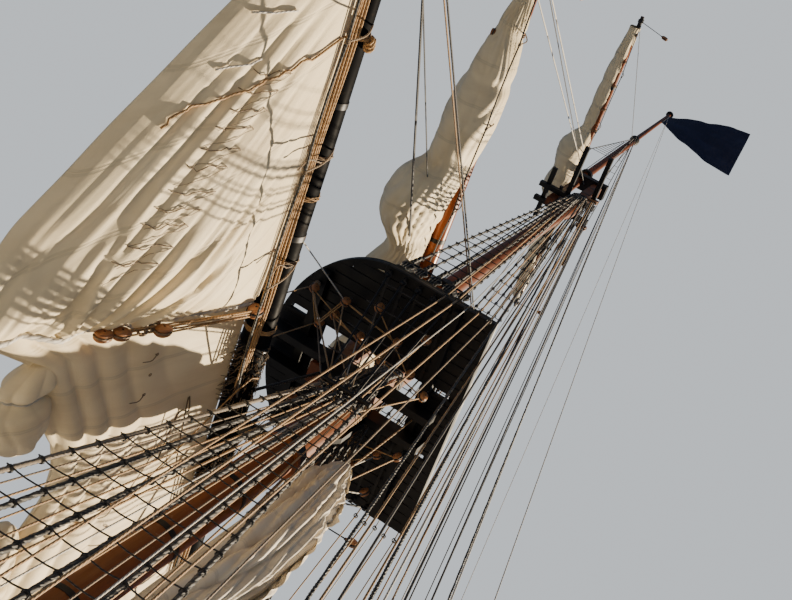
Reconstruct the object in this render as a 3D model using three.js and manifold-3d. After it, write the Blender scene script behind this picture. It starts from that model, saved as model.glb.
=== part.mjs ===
// One mast of a square-rigged ship, from the deck up: three masts one above the other, the top,
// the shrouds and backstays, three yards that turn and hoist, and their sails as they hang.
// Millimetres. X is to starboard, Y forward and Z up, from deck level on the lower mast's axis.

import * as THREE from "three";
import { mergeVertices } from "three/addons/utils/BufferGeometryUtils.js";
import Module from "manifold-3d";

const wasm = await Module();
wasm.setup();

// Driving dimensions

const seat = 0.3; // clearance where one piece rests on another
const bothSides = [
  { name: "port", sign: -1 },
  { name: "starboard", sign: 1 },
];

const lowerMast = {
  deckRadius: 280,
  hounds: { radius: 236, bottom: 13900, top: 14750 },
  head: { width: 340, top: 17900 },
  tenon: { width: 220, top: 18240 },
  coat: { radius: 420, height: 170 },
  shoulder: { top: 12879.7, height: 55, out: 52 }, // hoop that the lower yard's truss rests on
};

const topmast = {
  y: 630, // heel, forward of the lower mast
  z: 14700,
  lean: 0.014, // radians forward
  heel: { width: 320, top: 720 },
  radius: 165,
  houndsRadius: 185,
  hounds: { bottom: 9560, top: 10100 },
  head: { width: 220, top: 11750 },
  tenon: { width: 150, top: 11960 },
};

const topgallantMast = {
  z: 24500,
  ahead: 378, // forward of the topmast at its heel
  lean: 0.045,
  heel: { width: 180, top: 900 },
  radius: 95,
  stop: { radius: 76, bottom: 6230, top: 6400 },
  pole: { radius: 62, tipRadius: 44, straightTo: 6900, top: 10330 },
};

const trestle = { inner: 170.3, outer: 280, bottom: 14750.3, top: 15000, aft: -1000, fore: 1600 };
const cheek = { outer: 318, aft: -210, fore: 560, bottom: 13900 };
const crosstree = {
  width: 120,
  top: 15110,
  fore: { y: 1140, half: 1250 },
  aft: { y: -720, half: 1690 },
};

const top = {
  halfWidth: 1750,
  aft: -1200,
  straightTo: 250, // the sides run straight to here, and round to the front edge from here
  fore: 1660,
  thickness: 60,
  rim: { width: 95, height: 62 },
  hole: { halfWidth: 460, aft: -600, fore: 960 },
};

const lowerCap = { halfWidth: 260, aft: -330, fore: 960, thickness: 300 };
const topmastCap = { halfWidth: 160, aft: -190, fore: 560, thickness: 160 };

const topmastTrestle = { inner: 110.3, outer: 210, aft: -430, fore: 800, thickness: 120 };
const topmastArm = { width: 90, height: 82 };
// Where each arm lies, forward of the topmast, and half its length
const topmastArms = [
  { y: -330, half: 1250, shroud: true },
  { y: 199, half: 1250, shroud: true },
  { y: 640, half: 560, shroud: false },
];

const channel = { inner: 3600, outer: 4240, top: 1000, thickness: 120, aft: -5250, fore: 450 };
const chainplate = { width: 70, thickness: 26, foot: { x: 3640, z: 90 } };

const lowerShroud = {
  count: 6,
  radius: 25,
  footX: 4130,
  firstY: 67,
  step: -637,
  head: { x: 208, y: 80, step: -52 },
  bolster: { x: 310, z: 15080 },
};
const deadeye = { radius: 130, thickness: 100, low: 190, high: 720, sheerPole: 920, sides: 8 };
const smallDeadeye = { radius: 85, thickness: 75, low: 150, high: 480, sheerPole: 620, sides: 6 };

const topmastShroud = {
  count: 5,
  radius: 18,
  footX: 1655,
  firstY: 330,
  step: -225,
  head: { x: 135, y: 80, step: -40 },
  bolsterX: 236,
};
const topgallantShroud = { radius: 10, footX: 1190 };
const backstays = {
  topmast: { feet: [-3900, -4400], radius: 16 },
  topgallant: { feet: [-4900], radius: 9 },
};
const stave = { z: 13600, radius: 30 };
const futtock = { radius: 14, rimX: 1680 };

// A yard: half its length, its radius amidships, its centre's place, and its truss
const lowerYard = { half: 7400, radius: 180, ahead: 800, z: 12950, sides: 16 };
const topsailYard = { half: 5400, radius: 130, ahead: 400, z: 3900, sides: 12 };
const topgallantYard = { half: 3600, radius: 85, ahead: 270, z: 2500, sides: 12 };
const truss = { inner: 250, outer: 292, height: 140, armWidth: 180, armHeight: 120 };

// A parrel: a spool that slides on its mast, and the truss ring that turns on the spool
const topsailParrel = {
  inner: 168.7, sleeve: 190, flange: 218, ring: 236, height: 240, plate: 30, arm: 100,
};
const topgallantParrel = {
  inner: 90.4, sleeve: 112, flange: 132, ring: 146, height: 160, plate: 20, arm: 70,
};
const turning = 9; // clearance of a truss ring that turns on its spool

const finishes = {
  varnish: { color: 0x8a4a2a, roughness: 0.45 },
  brightSpar: { color: 0xb9692f, roughness: 0.4 },
  blackPaint: { color: 0x17171a, roughness: 0.5 },
  tarredRope: { color: 0x1b1a1c, roughness: 0.85 },
  iron: { color: 0x222226, roughness: 0.6, metalness: 0.6 },
  canvas: { color: 0xd9cdb0, roughness: 0.9 },
  bunting: { color: 0x1c2340, roughness: 0.85 },
};

// Shapes

// One closed solid from a geometry, its shared corners merged and its faces turned outwards
function solid(geometry) {
  const shape = geometry.clone();
  shape.deleteAttribute("normal");
  shape.deleteAttribute("uv");
  const welded = mergeVertices(shape, 1e-3);
  const place = welded.getAttribute("position");
  const kept = [];
  let volume = 0;
  const [a, b, c] = [new THREE.Vector3(), new THREE.Vector3(), new THREE.Vector3()];
  for (let i = 0; i < welded.index.count; i += 3) {
    const corners = [0, 1, 2].map((step) => welded.index.getX(i + step));
    if (new Set(corners).size < 3) continue;
    kept.push(corners);
    [a, b, c].forEach((point, n) => point.fromBufferAttribute(place, corners[n]));
    volume += a.dot(b.cross(c));
  }
  const triVerts = new Uint32Array(kept.flatMap((t) => (volume < 0 ? [t[0], t[2], t[1]] : t)));
  const vertProperties = new Float32Array(place.array);
  return new wasm.Manifold(new wasm.Mesh({ numProp: 3, vertProperties, triVerts }));
}

function geometryOf(shape) {
  const mesh = shape.getMesh();
  const geometry = new THREE.BufferGeometry();
  geometry.setAttribute("position", new THREE.BufferAttribute(mesh.vertProperties, 3));
  geometry.setIndex(new THREE.BufferAttribute(mesh.triVerts, 1));
  geometry.computeVertexNormals();
  return geometry;
}

const join = (shapes) => shapes.reduce((whole, shape) => whole.add(shape));

function block(x0, x1, y0, y1, z0, z1, matrix) {
  const shape = new THREE.BoxGeometry(x1 - x0, y1 - y0, z1 - z0);
  shape.translate((x0 + x1) / 2, (y0 + y1) / 2, (z0 + z1) / 2);
  if (matrix) shape.applyMatrix4(matrix);
  return solid(shape);
}

const squareBar = (width, z0, z1) => block(-width / 2, width / 2, -width / 2, width / 2, z0, z1);

// Turned about Z from a profile of [radius, height]
function turned(profile, sides, matrix) {
  const shape = new THREE.LatheGeometry(profile.map(([r, z]) => new THREE.Vector2(r, z)), sides);
  shape.rotateX(Math.PI / 2);
  if (matrix) shape.applyMatrix4(matrix);
  return solid(shape);
}

const ring = (inner, outer, z0, z1, sides, matrix) =>
  turned([[inner, z0], [outer, z0], [outer, z1], [inner, z1], [inner, z0]], sides, matrix);

const disc = (radius, z0, z1, sides, matrix) =>
  turned([[0, z0], [radius, z0], [radius, z1], [0, z1]], sides, matrix);

// A straight round bar between two points
function bar(from, to, radius, sides = 6) {
  const along = to.clone().sub(from);
  const shape = new THREE.CylinderGeometry(radius, radius, along.length(), sides);
  const turn = new THREE.Quaternion().setFromUnitVectors(
    new THREE.Vector3(0, 1, 0), along.clone().normalize());
  shape.applyQuaternion(turn);
  const middle = from.clone().add(to).multiplyScalar(0.5);
  shape.translate(middle.x, middle.y, middle.z);
  return solid(shape);
}

// An outline in X and Y raised from z0 to z1, less its holes
function raised(outline, z0, z1, holes = []) {
  const shape = new THREE.Shape(outline);
  shape.holes = holes.map((hole) => new THREE.Path(hole));
  const body = new THREE.ExtrudeGeometry(shape, { depth: z1 - z0, bevelEnabled: false });
  body.translate(0, 0, z0);
  return solid(body);
}

// A closed skin over a row of closed sections, each with the same number of points. A thin
// twisted sheet splits its far side, from a given point on, along the same diagonals as its near.
function loft(sections, farSide = Infinity) {
  const count = sections[0].length;
  const positions = sections.flat().flatMap((p) => [p.x, p.y, p.z]);
  const index = [];
  for (let s = 0; s + 1 < sections.length; s += 1) {
    for (let i = 0; i < count; i += 1) {
      const next = (i + 1) % count;
      const [a, b] = [s * count + i, s * count + next];
      if (i < farSide) index.push(a, b, b + count, a, b + count, a + count);
      else index.push(a, b, a + count, b, b + count, a + count);
    }
  }
  const last = (sections.length - 1) * count;
  for (let i = 1; i + 1 < count; i += 1) {
    index.push(0, i + 1, i);
    index.push(last, last + i, last + i + 1);
  }
  const shape = new THREE.BufferGeometry();
  shape.setAttribute("position", new THREE.Float32BufferAttribute(positions, 3));
  shape.setIndex(index);
  return solid(shape);
}

// The ship's frame, and the two upper masts' frames, which lean forward in it

const group = new THREE.Group();

const topmastFrame = new THREE.Group();
topmastFrame.position.set(0, topmast.y, topmast.z);
topmastFrame.rotation.x = -topmast.lean;

const topgallantFrame = new THREE.Group();
const rise = topgallantMast.z - topmast.z;
topgallantFrame.position.set(
  0, topmast.y + rise * topmast.lean + topgallantMast.ahead, topgallantMast.z);
topgallantFrame.rotation.x = -topgallantMast.lean;

group.add(topmastFrame, topgallantFrame);
group.updateMatrixWorld(true);

const inTopmast = topmastFrame.matrixWorld;
const inTopgallant = topgallantFrame.matrixWorld;
const shipToTopmast = inTopmast.clone().invert();
const topmastToTopgallant = inTopgallant.clone().invert().multiply(inTopmast);
const topgallantToTopmast = topmastToTopgallant.clone().invert();

const point = (x, y, z, matrix) => {
  const place = new THREE.Vector3(x, y, z);
  return matrix ? place.applyMatrix4(matrix) : place;
};

function piece(name, shape, finish, parent = group, y = 0, z = 0) {
  const mesh = new THREE.Mesh(
    geometryOf(shape), new THREE.MeshStandardMaterial(finishes[finish]));
  mesh.name = name;
  mesh.position.set(0, y, z);
  parent.add(mesh);
}

// Masts

const fid = { width: 90, height: 120, half: 400 };
const topgallantFid = { width: 60, height: 80, half: 260 };
const topmastFidBottom = trestle.top + seat;
const topmastTrestleTop = topmast.hounds.top + seat + topmastTrestle.thickness;

// A bar through a heel, grown by the seat for the hole that it goes through
function fidBar(size, y, bottom, grow = 0, matrix) {
  return block(-size.half - grow, size.half + grow, y - size.width / 2 - grow,
    y + size.width / 2 + grow, bottom - grow, bottom + size.height + grow, matrix);
}

function lowerMastRadius(z) {
  const { deckRadius, hounds } = lowerMast;
  return deckRadius + ((hounds.radius - deckRadius) * Math.min(z, hounds.bottom)) / hounds.bottom;
}

function lowerMastShape() {
  const { deckRadius, hounds, head, tenon, shoulder } = lowerMast;
  const hoopBottom = shoulder.top - shoulder.height;
  const pole = turned([
    [0, 0],
    [deckRadius, 0],
    [lowerMastRadius(hoopBottom), hoopBottom],
    [lowerMastRadius(hoopBottom) + shoulder.out, hoopBottom],
    [lowerMastRadius(shoulder.top) + shoulder.out, shoulder.top],
    [lowerMastRadius(shoulder.top), shoulder.top],
    [hounds.radius, hounds.bottom],
    [hounds.radius, hounds.top],
    [0, hounds.top],
  ], 24);
  return join([
    pole,
    squareBar(head.width, hounds.top - 100, head.top),
    squareBar(tenon.width, head.top - 100, tenon.top),
  ]);
}

function topmastShape() {
  const { heel, radius, hounds, houndsRadius, head, tenon } = topmast;
  const under = radius * 0.8;
  const pole = turned([
    [0, heel.top - 60],
    [radius - 12, heel.top - 60],
    [radius, heel.top + 80],
    [radius, 4600],
    [under, hounds.bottom],
    [houndsRadius, hounds.bottom + 260],
    [houndsRadius, hounds.top],
    [0, hounds.top],
  ], 20);
  const hole = fidBar(fid, topmast.y, topmastFidBottom, seat, shipToTopmast);
  return join([
    squareBar(heel.width, 0, heel.top),
    pole,
    squareBar(head.width, hounds.top - 60, head.top),
    squareBar(tenon.width, head.top - 60, tenon.top),
  ]).subtract(hole);
}

const topgallantFidHole = (grow, matrix) =>
  fidBar(topgallantFid, topgallantMast.ahead, topmastTrestleTop + seat, grow, matrix);

function topgallantMastShape() {
  const { heel, radius, stop, pole } = topgallantMast;
  const spar = turned([
    [0, heel.top - 50],
    [radius - 8, heel.top - 50],
    [radius, heel.top + 60],
    [stop.radius, stop.bottom],
    [stop.radius, stop.top],
    [pole.radius, stop.top],
    [pole.radius, pole.straightTo],
    [pole.tipRadius, pole.top],
    [0, pole.top],
  ], 16);
  return join([squareBar(heel.width, 0, heel.top), spar])
    .subtract(topgallantFidHole(seat, topmastToTopgallant));
}

function truckShape() {
  const z = topgallantMast.pole.top + seat;
  return turned([[0, z], [60, z], [105, z + 28], [90, z + 62], [0, z + 75]], 16);
}

function mastCoatShape() {
  const { coat, deckRadius } = lowerMast;
  return turned([
    [deckRadius + seat, 0],
    [coat.radius, 0],
    [coat.radius, coat.height * 0.4],
    [deckRadius + 40, coat.height],
    [deckRadius + seat, coat.height],
    [deckRadius + seat, 0],
  ], 24);
}

piece("lower_mast", lowerMastShape(), "varnish");
piece("mast_coat", mastCoatShape(), "canvas");
piece("topmast", topmastShape(), "varnish", topmastFrame);
piece("topmast_fid", fidBar(fid, topmast.y, topmastFidBottom), "iron");
piece("topgallant_mast", topgallantMastShape(), "varnish", topgallantFrame);
piece("topgallant_fid", topgallantFidHole(0), "iron", topmastFrame);
piece("truck", truckShape(), "blackPaint", topgallantFrame);

// The top, from the cheeks that carry it to the cap above it

function cheekShape(sign) {
  const [near, far] = [lowerMast.hounds.radius + seat, cheek.outer].map((x) => sign * x);
  const outline = [
    [cheek.aft, cheek.bottom + 250],
    [-60, cheek.bottom],
    [120, cheek.bottom],
    [cheek.fore, trestle.bottom - 220],
    [cheek.fore, trestle.bottom - seat],
    [cheek.aft, trestle.bottom - seat],
  ];
  return loft([near, far].map((x) => outline.map(([y, z]) => point(x, y, z))));
}

// The top's outline, drawn in by a margin
function topOutline(margin) {
  const [x, aft, fore] = [top.halfWidth - margin, top.aft + margin, top.fore - margin];
  const outline = [new THREE.Vector2(-x, aft), new THREE.Vector2(x, aft)];
  const steps = 14;
  for (let i = 0; i <= steps; i += 1) {
    const angle = (Math.PI * i) / steps;
    outline.push(new THREE.Vector2(
      x * Math.cos(angle), top.straightTo + (fore - top.straightTo) * Math.sin(angle)));
  }
  return outline;
}

function topPlatformShape() {
  const z = crosstree.top + seat;
  const { halfWidth, aft, fore } = top.hole;
  const hole = [[-halfWidth, aft], [-halfWidth, fore], [halfWidth, fore], [halfWidth, aft]]
    .map(([x, y]) => new THREE.Vector2(x, y));
  const deck = raised(topOutline(0), z, z + top.thickness, [hole]);
  const rim = raised(topOutline(0), z + top.thickness / 2, z + top.thickness + top.rim.height,
    [topOutline(top.rim.width).reverse()]);
  return deck.add(rim);
}

const platformTop = crosstree.top + seat + top.thickness;
const platformBottom = crosstree.top + seat;

function lowerCapShape() {
  const z = lowerMast.head.top + seat;
  const tenonHole = squareBar(lowerMast.tenon.width + 2 * seat, z - 50, z + lowerCap.thickness + 50);
  const mastHole = disc(topmast.radius + seat, 2500, 4500, 20, inTopmast);
  return block(-lowerCap.halfWidth, lowerCap.halfWidth, lowerCap.aft, lowerCap.fore, z,
    z + lowerCap.thickness).subtract(tenonHole).subtract(mastHole);
}

function topmastCapShape() {
  const z = topmast.head.top + seat;
  const { halfWidth, aft, fore, thickness } = topmastCap;
  const tenonHole = squareBar(topmast.tenon.width + 2 * seat, z - 50, z + thickness + 50);
  const mast = topgallantMast;
  const hole = turned([
    [0, 1300],
    [mast.radius + seat, 1300],
    [mast.radius + seat, 3000],
    [0, 3000],
  ], 16, topgallantToTopmast);
  return block(-halfWidth, halfWidth, aft, fore, z, z + thickness)
    .subtract(tenonHole).subtract(hole);
}

function topmastCrosstreesShape() {
  const z = topmast.hounds.top + seat;
  const { inner, outer, aft, fore, thickness } = topmastTrestle;
  const beams = bothSides.map(({ sign }) => {
    const [x0, x1] = [sign * inner, sign * outer].sort((a, b) => a - b);
    return block(x0, x1, aft, fore, z, z + thickness);
  });
  const arms = topmastArms.map(({ y, half }) => block(-half, half, y - topmastArm.width / 2,
    y + topmastArm.width / 2, topmastArmTop - topmastArm.height, topmastArmTop));
  return join([...beams, ...arms]);
}

const topmastArmTop = topmastTrestleTop + 0.5 * topmastArm.height;

for (const { name, sign } of bothSides) {
  const [x0, x1] = [sign * trestle.inner, sign * trestle.outer].sort((a, b) => a - b);
  piece(`mast_cheek_${name}`, cheekShape(sign), "blackPaint");
  piece(`trestletree_${name}`,
    block(x0, x1, trestle.aft, trestle.fore, trestle.bottom, trestle.top), "blackPaint");
}
for (const name of ["fore", "aft"]) {
  const { y, half } = crosstree[name];
  piece(`crosstree_${name}`, block(-half, half, y - crosstree.width / 2,
    y + crosstree.width / 2, trestle.top + seat, crosstree.top), "blackPaint");
}
piece("top_platform", topPlatformShape(), "blackPaint");
piece("lower_cap", lowerCapShape(), "blackPaint");
piece("topmast_crosstrees", topmastCrosstreesShape(), "blackPaint", topmastFrame);
piece("topmast_cap", topmastCapShape(), "blackPaint", topmastFrame);

// Standing rigging

// A square collar about a masthead: wide on the side that its ropes leave, and thin elsewhere
function collar(sign, width, near, far, z0, z1, matrix) {
  const half = width / 2 + seat;
  const [x0, x1] = sign < 0 ? [-near, half + far] : [-half - far, near];
  return block(x0, x1, -near, near, z0, z1, matrix)
    .subtract(block(-half, half, -half, half, z0 - 10, z1 + 10, matrix));
}

// The foot of a rope: a pair of deadeyes and the lanyard between them as one plate, which lies
// in the plane of the shrouds and stands on the foot by its lowest corners
function deadeyePair(foot, up, size) {
  const face = new THREE.Vector3(0, 1, 0).cross(up).normalize();
  const half = size.thickness / 2;
  const start = (half * Math.abs(face.z)) / up.z;
  const side = [];
  for (const centre of [size.low, size.high]) {
    for (let i = 0; i < size.sides / 2; i += 1) {
      const angle = (Math.PI * (2 * i + 1)) / size.sides - Math.PI / 2;
      side.push([size.radius * Math.cos(angle), centre + size.radius * Math.sin(angle)]);
    }
  }
  side.unshift([side[0][0], start]);
  const outline = [...side, ...side.map(([v, u]) => [-v, u]).reverse()];
  const shape = new THREE.ExtrudeGeometry(
    new THREE.Shape(outline.map(([v, u]) => new THREE.Vector2(v, u))),
    { depth: size.thickness, bevelEnabled: false });
  shape.translate(0, 0, -half);
  const axes = new THREE.Matrix4().makeBasis(new THREE.Vector3(0, 1, 0), up, face);
  shape.applyMatrix4(axes.setPosition(foot));
  return solid(shape);
}

// A rope along a row of points, its section at each bend square to the middle of the bend
function rope(points, radius, sides = 5) {
  const sections = points.map((centre, n) => {
    const before = points[Math.max(n - 1, 0)];
    const after = points[Math.min(n + 1, points.length - 1)];
    const along = centre.clone().sub(before).normalize()
      .add(after.clone().sub(centre).normalize()).normalize();
    const across = new THREE.Vector3().crossVectors(along, new THREE.Vector3(0, 1, 0)).normalize();
    const other = new THREE.Vector3().crossVectors(across, along);
    return Array.from({ length: sides }, (_, i) => {
      const angle = (2 * Math.PI * i) / sides;
      return centre.clone().addScaledVector(across, radius * Math.cos(angle))
        .addScaledVector(other, radius * Math.sin(angle));
    });
  });
  return loft(sections);
}

// Ropes from one collar over a bolster to a row of feet, held together by a pole across them
function shroudGang({ heads, feet, radius, size }) {
  const shapes = [];
  const poleEnds = [];
  heads.forEach(([start, bend], i) => {
    const foot = feet[i];
    const up = bend.clone().sub(foot).normalize();
    const low = foot.clone().addScaledVector(up, size.high);
    shapes.push(deadeyePair(foot, up, size), rope([low, bend, start], radius));
    poleEnds.push(foot.clone().addScaledVector(up, size.sheerPole));
  });
  const overhang = new THREE.Vector3(0, size.radius * 0.9, 0);
  const [first, last] = [poleEnds[0].clone(), poleEnds[poleEnds.length - 1].clone()];
  const pole = bar(first.add(overhang), last.sub(overhang), size.radius * 0.17);
  return [...shapes, pole];
}

const leaning = new THREE.Matrix4().extractRotation(inTopmast);
const headHeights = { port: 15440, starboard: 15520 };
const collarHeight = 70;

function lowerShroudsShape({ name, sign }) {
  const { count, radius, footX, firstY, step, head, bolster } = lowerShroud;
  const z = headHeights[name];
  const heads = [];
  const feet = [];
  for (let i = 0; i < count; i += 1) {
    const y = head.y + i * head.step;
    heads.push([point(sign * head.x, y, z + collarHeight / 2), point(sign * bolster.x, y, bolster.z)]);
    feet.push(point(sign * footX, firstY + i * step, channel.top + seat));
  }
  return join([
    collar(sign, lowerMast.head.width, 240, 14, z, z + collarHeight),
    ...shroudGang({ heads, feet, radius, size: deadeye }),
  ]);
}

// Where the first and last lower shrouds pass a height
function lowerShroudAt(sign, z, i) {
  const { bolster, footX, head, firstY, step } = lowerShroud;
  const t = (bolster.z - z) / (bolster.z - channel.top);
  const y0 = head.y + i * head.step;
  return point(sign * (bolster.x + t * (footX - bolster.x)), y0 + t * (firstY + i * step - y0), z);
}

const rimFootY = (i) => topmastShroud.firstY + i * topmastShroud.step;

function futtockShroudsShape({ sign }) {
  const first = lowerShroudAt(sign, stave.z, 0);
  const last = lowerShroudAt(sign, stave.z, lowerShroud.count - 1);
  const down = lowerShroudAt(sign, stave.z - 1000, 0).sub(first).normalize();
  const outwards = new THREE.Vector3(down.z, 0, -down.x).multiplyScalar(-sign);
  outwards.y = 0;
  outwards.setLength(lowerShroud.radius + stave.radius + seat);
  first.add(outwards);
  last.add(outwards);
  const shapes = [bar(
    first.clone().add(new THREE.Vector3(0, 90, 0)),
    last.clone().add(new THREE.Vector3(0, -90, 0)), stave.radius, 8)];
  const bottom = platformBottom - seat;
  for (let i = 0; i < topmastShroud.count; i += 1) {
    const low = first.clone().lerp(last, i / (topmastShroud.count - 1));
    const rim = point(sign * futtock.rimX, rimFootY(i), bottom - 30);
    shapes.push(bar(low, rim, futtock.radius));
    shapes.push(block(rim.x - 30, rim.x + 30, rim.y - 22, rim.y + 22, rim.z - 20, bottom));
  }
  return join(shapes);
}

const topmastHeadHeights = { port: 10400, starboard: 10470 };
const backstayHeadHeights = { port: 10540, starboard: 10610 };
const topmastCollarHeight = 60;

function topmastShroudsShape({ name, sign }) {
  const { count, radius, footX, head, bolsterX } = topmastShroud;
  const z = topmastHeadHeights[name];
  const heads = [];
  const feet = [];
  for (let i = 0; i < count; i += 1) {
    const y = head.y + head.step * i;
    heads.push([
      point(sign * head.x, y, z + topmastCollarHeight / 2, inTopmast),
      point(sign * bolsterX, y, topmastTrestleTop + 80, inTopmast),
    ]);
    feet.push(point(sign * footX, rimFootY(i), platformTop + top.rim.height + seat));
  }
  return join([
    collar(sign, topmast.head.width, 155, 15, z, z + topmastCollarHeight, inTopmast),
    ...shroudGang({ heads, feet, radius, size: smallDeadeye }),
  ]);
}

// Rings about the topgallant pole, one on another, each a little wider than the one below
function poleRing(level) {
  const bottom = topgallantMast.stop.top + seat + level * 66;
  const outer = 92 + 12 * level;
  return {
    shape: ring(topgallantMast.pole.radius + seat, outer, bottom, bottom + 58, 16, inTopgallant),
    ropeX: outer - 9,
    ropeZ: bottom + 30,
  };
}

function topgallantShroudsShape({ sign }) {
  const level = sign < 0 ? 0 : 1;
  const eye = poleRing(level);
  const shapes = [eye.shape];
  topmastArms.filter(({ shroud }) => shroud).forEach(({ y }, i) => {
    const head = point(sign * eye.ropeX, 10 - 10 * i, eye.ropeZ, inTopgallant);
    const foot = point(sign * topgallantShroud.footX, y, topmastArmTop + seat, inTopmast);
    const frame = leaning.clone().setPosition(foot);
    shapes.push(block(-28, 28, -22, 22, 0, 50, frame));
    shapes.push(bar(foot.clone().add(new THREE.Vector3(0, 0, 25)), head, topgallantShroud.radius));
  });
  return join(shapes);
}

const backstayDeadeye = { ...deadeye, radius: 105, thickness: 95 };

// Backstays down from their heads, each a row of points, with a pole across their deadeyes
function backstayGang(sign, { feet, radius }, heads) {
  const shapes = [];
  const poles = feet.map((y, i) => {
    const foot = point(sign * lowerShroud.footX, y, channel.top + seat);
    const up = heads[i][0].clone().sub(foot).normalize();
    const low = foot.clone().addScaledVector(up, backstayDeadeye.high);
    shapes.push(deadeyePair(foot, up, backstayDeadeye), rope([low, ...heads[i]], radius));
    return foot.clone().addScaledVector(up, backstayDeadeye.sheerPole);
  });
  const overhang = new THREE.Vector3(0, 90, 0);
  const last = poles[poles.length - 1].clone();
  shapes.push(bar(poles[0].clone().add(overhang), last.sub(overhang), 20));
  return shapes;
}

function topmastBackstaysShape({ name, sign }) {
  const z = backstayHeadHeights[name];
  const heads = backstays.topmast.feet.map((_, i) => [
    point(sign * topmastShroud.bolsterX, -125 - 40 * i, topmastTrestleTop + 80, inTopmast),
    point(sign * 150, -110 - 38 * i, z + topmastCollarHeight / 2, inTopmast),
  ]);
  return join([
    collar(sign, topmast.head.width, 170, 15, z, z + topmastCollarHeight, inTopmast),
    ...backstayGang(sign, backstays.topmast, heads),
  ]);
}

function topgallantBackstayShape({ sign }) {
  const eye = poleRing(sign < 0 ? 2 : 3);
  const head = point(sign * eye.ropeX, -20, eye.ropeZ, inTopgallant);
  return join([eye.shape, ...backstayGang(sign, backstays.topgallant, [[head]])]);
}

function channelShape({ sign }) {
  const span = (x0, x1) => [sign * x0, sign * x1].sort((a, b) => a - b);
  const board = block(...span(channel.inner, channel.outer), channel.aft, channel.fore,
    channel.top - channel.thickness, channel.top);
  const feet = [...backstays.topmast.feet, ...backstays.topgallant.feet];
  for (let i = 0; i < lowerShroud.count; i += 1) feet.push(lowerShroud.firstY + i * lowerShroud.step);
  const { width, thickness, foot } = chainplate;
  const plates = feet.map((y) => {
    const section = (x, z) => [[x, y - width / 2], [x + thickness, y - width / 2],
      [x + thickness, y + width / 2], [x, y + width / 2]]
      .map(([a, b]) => point(sign * a, b, z));
    return loft([section(foot.x, foot.z), section(lowerShroud.footX, channel.top - 60)]);
  });
  return join([board, ...plates]);
}

for (const side of bothSides) {
  piece(`channel_${side.name}`, channelShape(side), "blackPaint");
  piece(`lower_shrouds_${side.name}`, lowerShroudsShape(side), "tarredRope");
  piece(`futtock_shrouds_${side.name}`, futtockShroudsShape(side), "iron");
  piece(`topmast_shrouds_${side.name}`, topmastShroudsShape(side), "tarredRope");
  piece(`topgallant_shrouds_${side.name}`, topgallantShroudsShape(side), "tarredRope");
  piece(`topmast_backstays_${side.name}`, topmastBackstaysShape(side), "tarredRope");
  piece(`topgallant_backstay_${side.name}`, topgallantBackstayShape(side), "tarredRope");
}

// Yards and sails

// A yard's radius falls off towards its ends, straight from one of these stations to the next
const taper = [[0, 1], [0.25, 0.98], [0.5, 0.9], [0.75, 0.72], [1, 0.44]];

function yardShape({ half, radius, sides }, grow = 0) {
  const starboard = taper.map(([t, share]) => [radius * share + grow, t * half]);
  const port = starboard.slice(1).reverse().map(([r, x]) => [r, -x]);
  const [first, last] = [port[0], starboard[starboard.length - 1]];
  const toX = new THREE.Matrix4().makeRotationY(Math.PI / 2);
  return turned([[0, first[1]], ...port, ...starboard, [0, last[1]]], sides, toX);
}

// The ring that turns on the mast or spool and the arm that holds the yard ahead of it
function trussShape(yard, ringShape, ringOuter, armWidth, armHeight) {
  const arm = block(-armWidth / 2, armWidth / 2, ringOuter - 25, yard.ahead, -armHeight / 2,
    armHeight / 2);
  const spar = yardShape(yard, seat).translate([0, yard.ahead, 0]);
  return ringShape.add(arm).subtract(spar);
}

// A rolled or hanging sail: elliptic sections along the yard, cut to lie against the spar.
// Each station is x, the section's centre in y and z, and its half sizes in y and z.
function bundleShape(yard, stations, corners = 10) {
  const sections = stations.map(([x, cy, cz, ry, rz]) => {
    const section = [];
    for (let i = 0; i < corners; i += 1) {
      const angle = (2 * Math.PI * (i + 0.5)) / corners;
      section.push(point(x, cy + ry * Math.cos(angle), cz + rz * Math.sin(angle)));
    }
    return section;
  });
  return loft(sections).subtract(yardShape(yard, seat));
}

// The course hangs in its gear. Each station is x, the height of its lowest fold, and the fold's
// half thickness. The sheet slopes forward as it drops, so that it clears the shrouds when braced.
const course = {
  thickness: 70,
  slope: 0.165,
  stations: [
    [0, 10350, 90],
    [450, 10150, 90],
    [750, 9600, 130],
    [1400, 9420, 140],
    [1800, 9150, 140],
    [2200, 8850, 150],
    [2650, 9250, 150],
    [3200, 9780, 140],
    [4000, 10400, 130],
    [5000, 11180, 110],
    [6000, 11880, 80],
    [6600, 12300, 60],
    [7000, 12480, 50],
  ],
};

function courseShape() {
  const { thickness, slope, stations } = course;
  const headZ = lowerYard.z - lowerYard.radius * 0.5;
  const half = thickness / 2;
  const port = stations.slice(1).reverse().map(([x, z, r]) => [-x, z, r]);
  const sections = [...port, ...stations].map(([x, low, fold]) => {
    const y = (z) => slope * (headZ - z);
    const foldZ = low + fold;
    const shoulder = foldZ + fold;
    const middle = (headZ + shoulder) / 2;
    return [
      [y(headZ) + half, headZ],
      [y(middle) + half, middle],
      [y(shoulder) + half, shoulder],
      [y(foldZ) + fold, foldZ],
      [y(low) + fold * 0.4, low],
      [y(low) - fold * 0.4, low],
      [y(foldZ) - fold, foldZ],
      [y(shoulder) - half, shoulder],
      [y(middle) - half, middle],
      [y(headZ) - half, headZ],
    ].map(([sy, sz]) => point(x, sy, sz - lowerYard.z));
  });
  return loft(sections).subtract(yardShape(lowerYard, seat));
}

const mirrored = (stations) => [
  ...stations.slice(1).reverse().map(([x, ...rest]) => [-x, ...rest]),
  ...stations,
];

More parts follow.
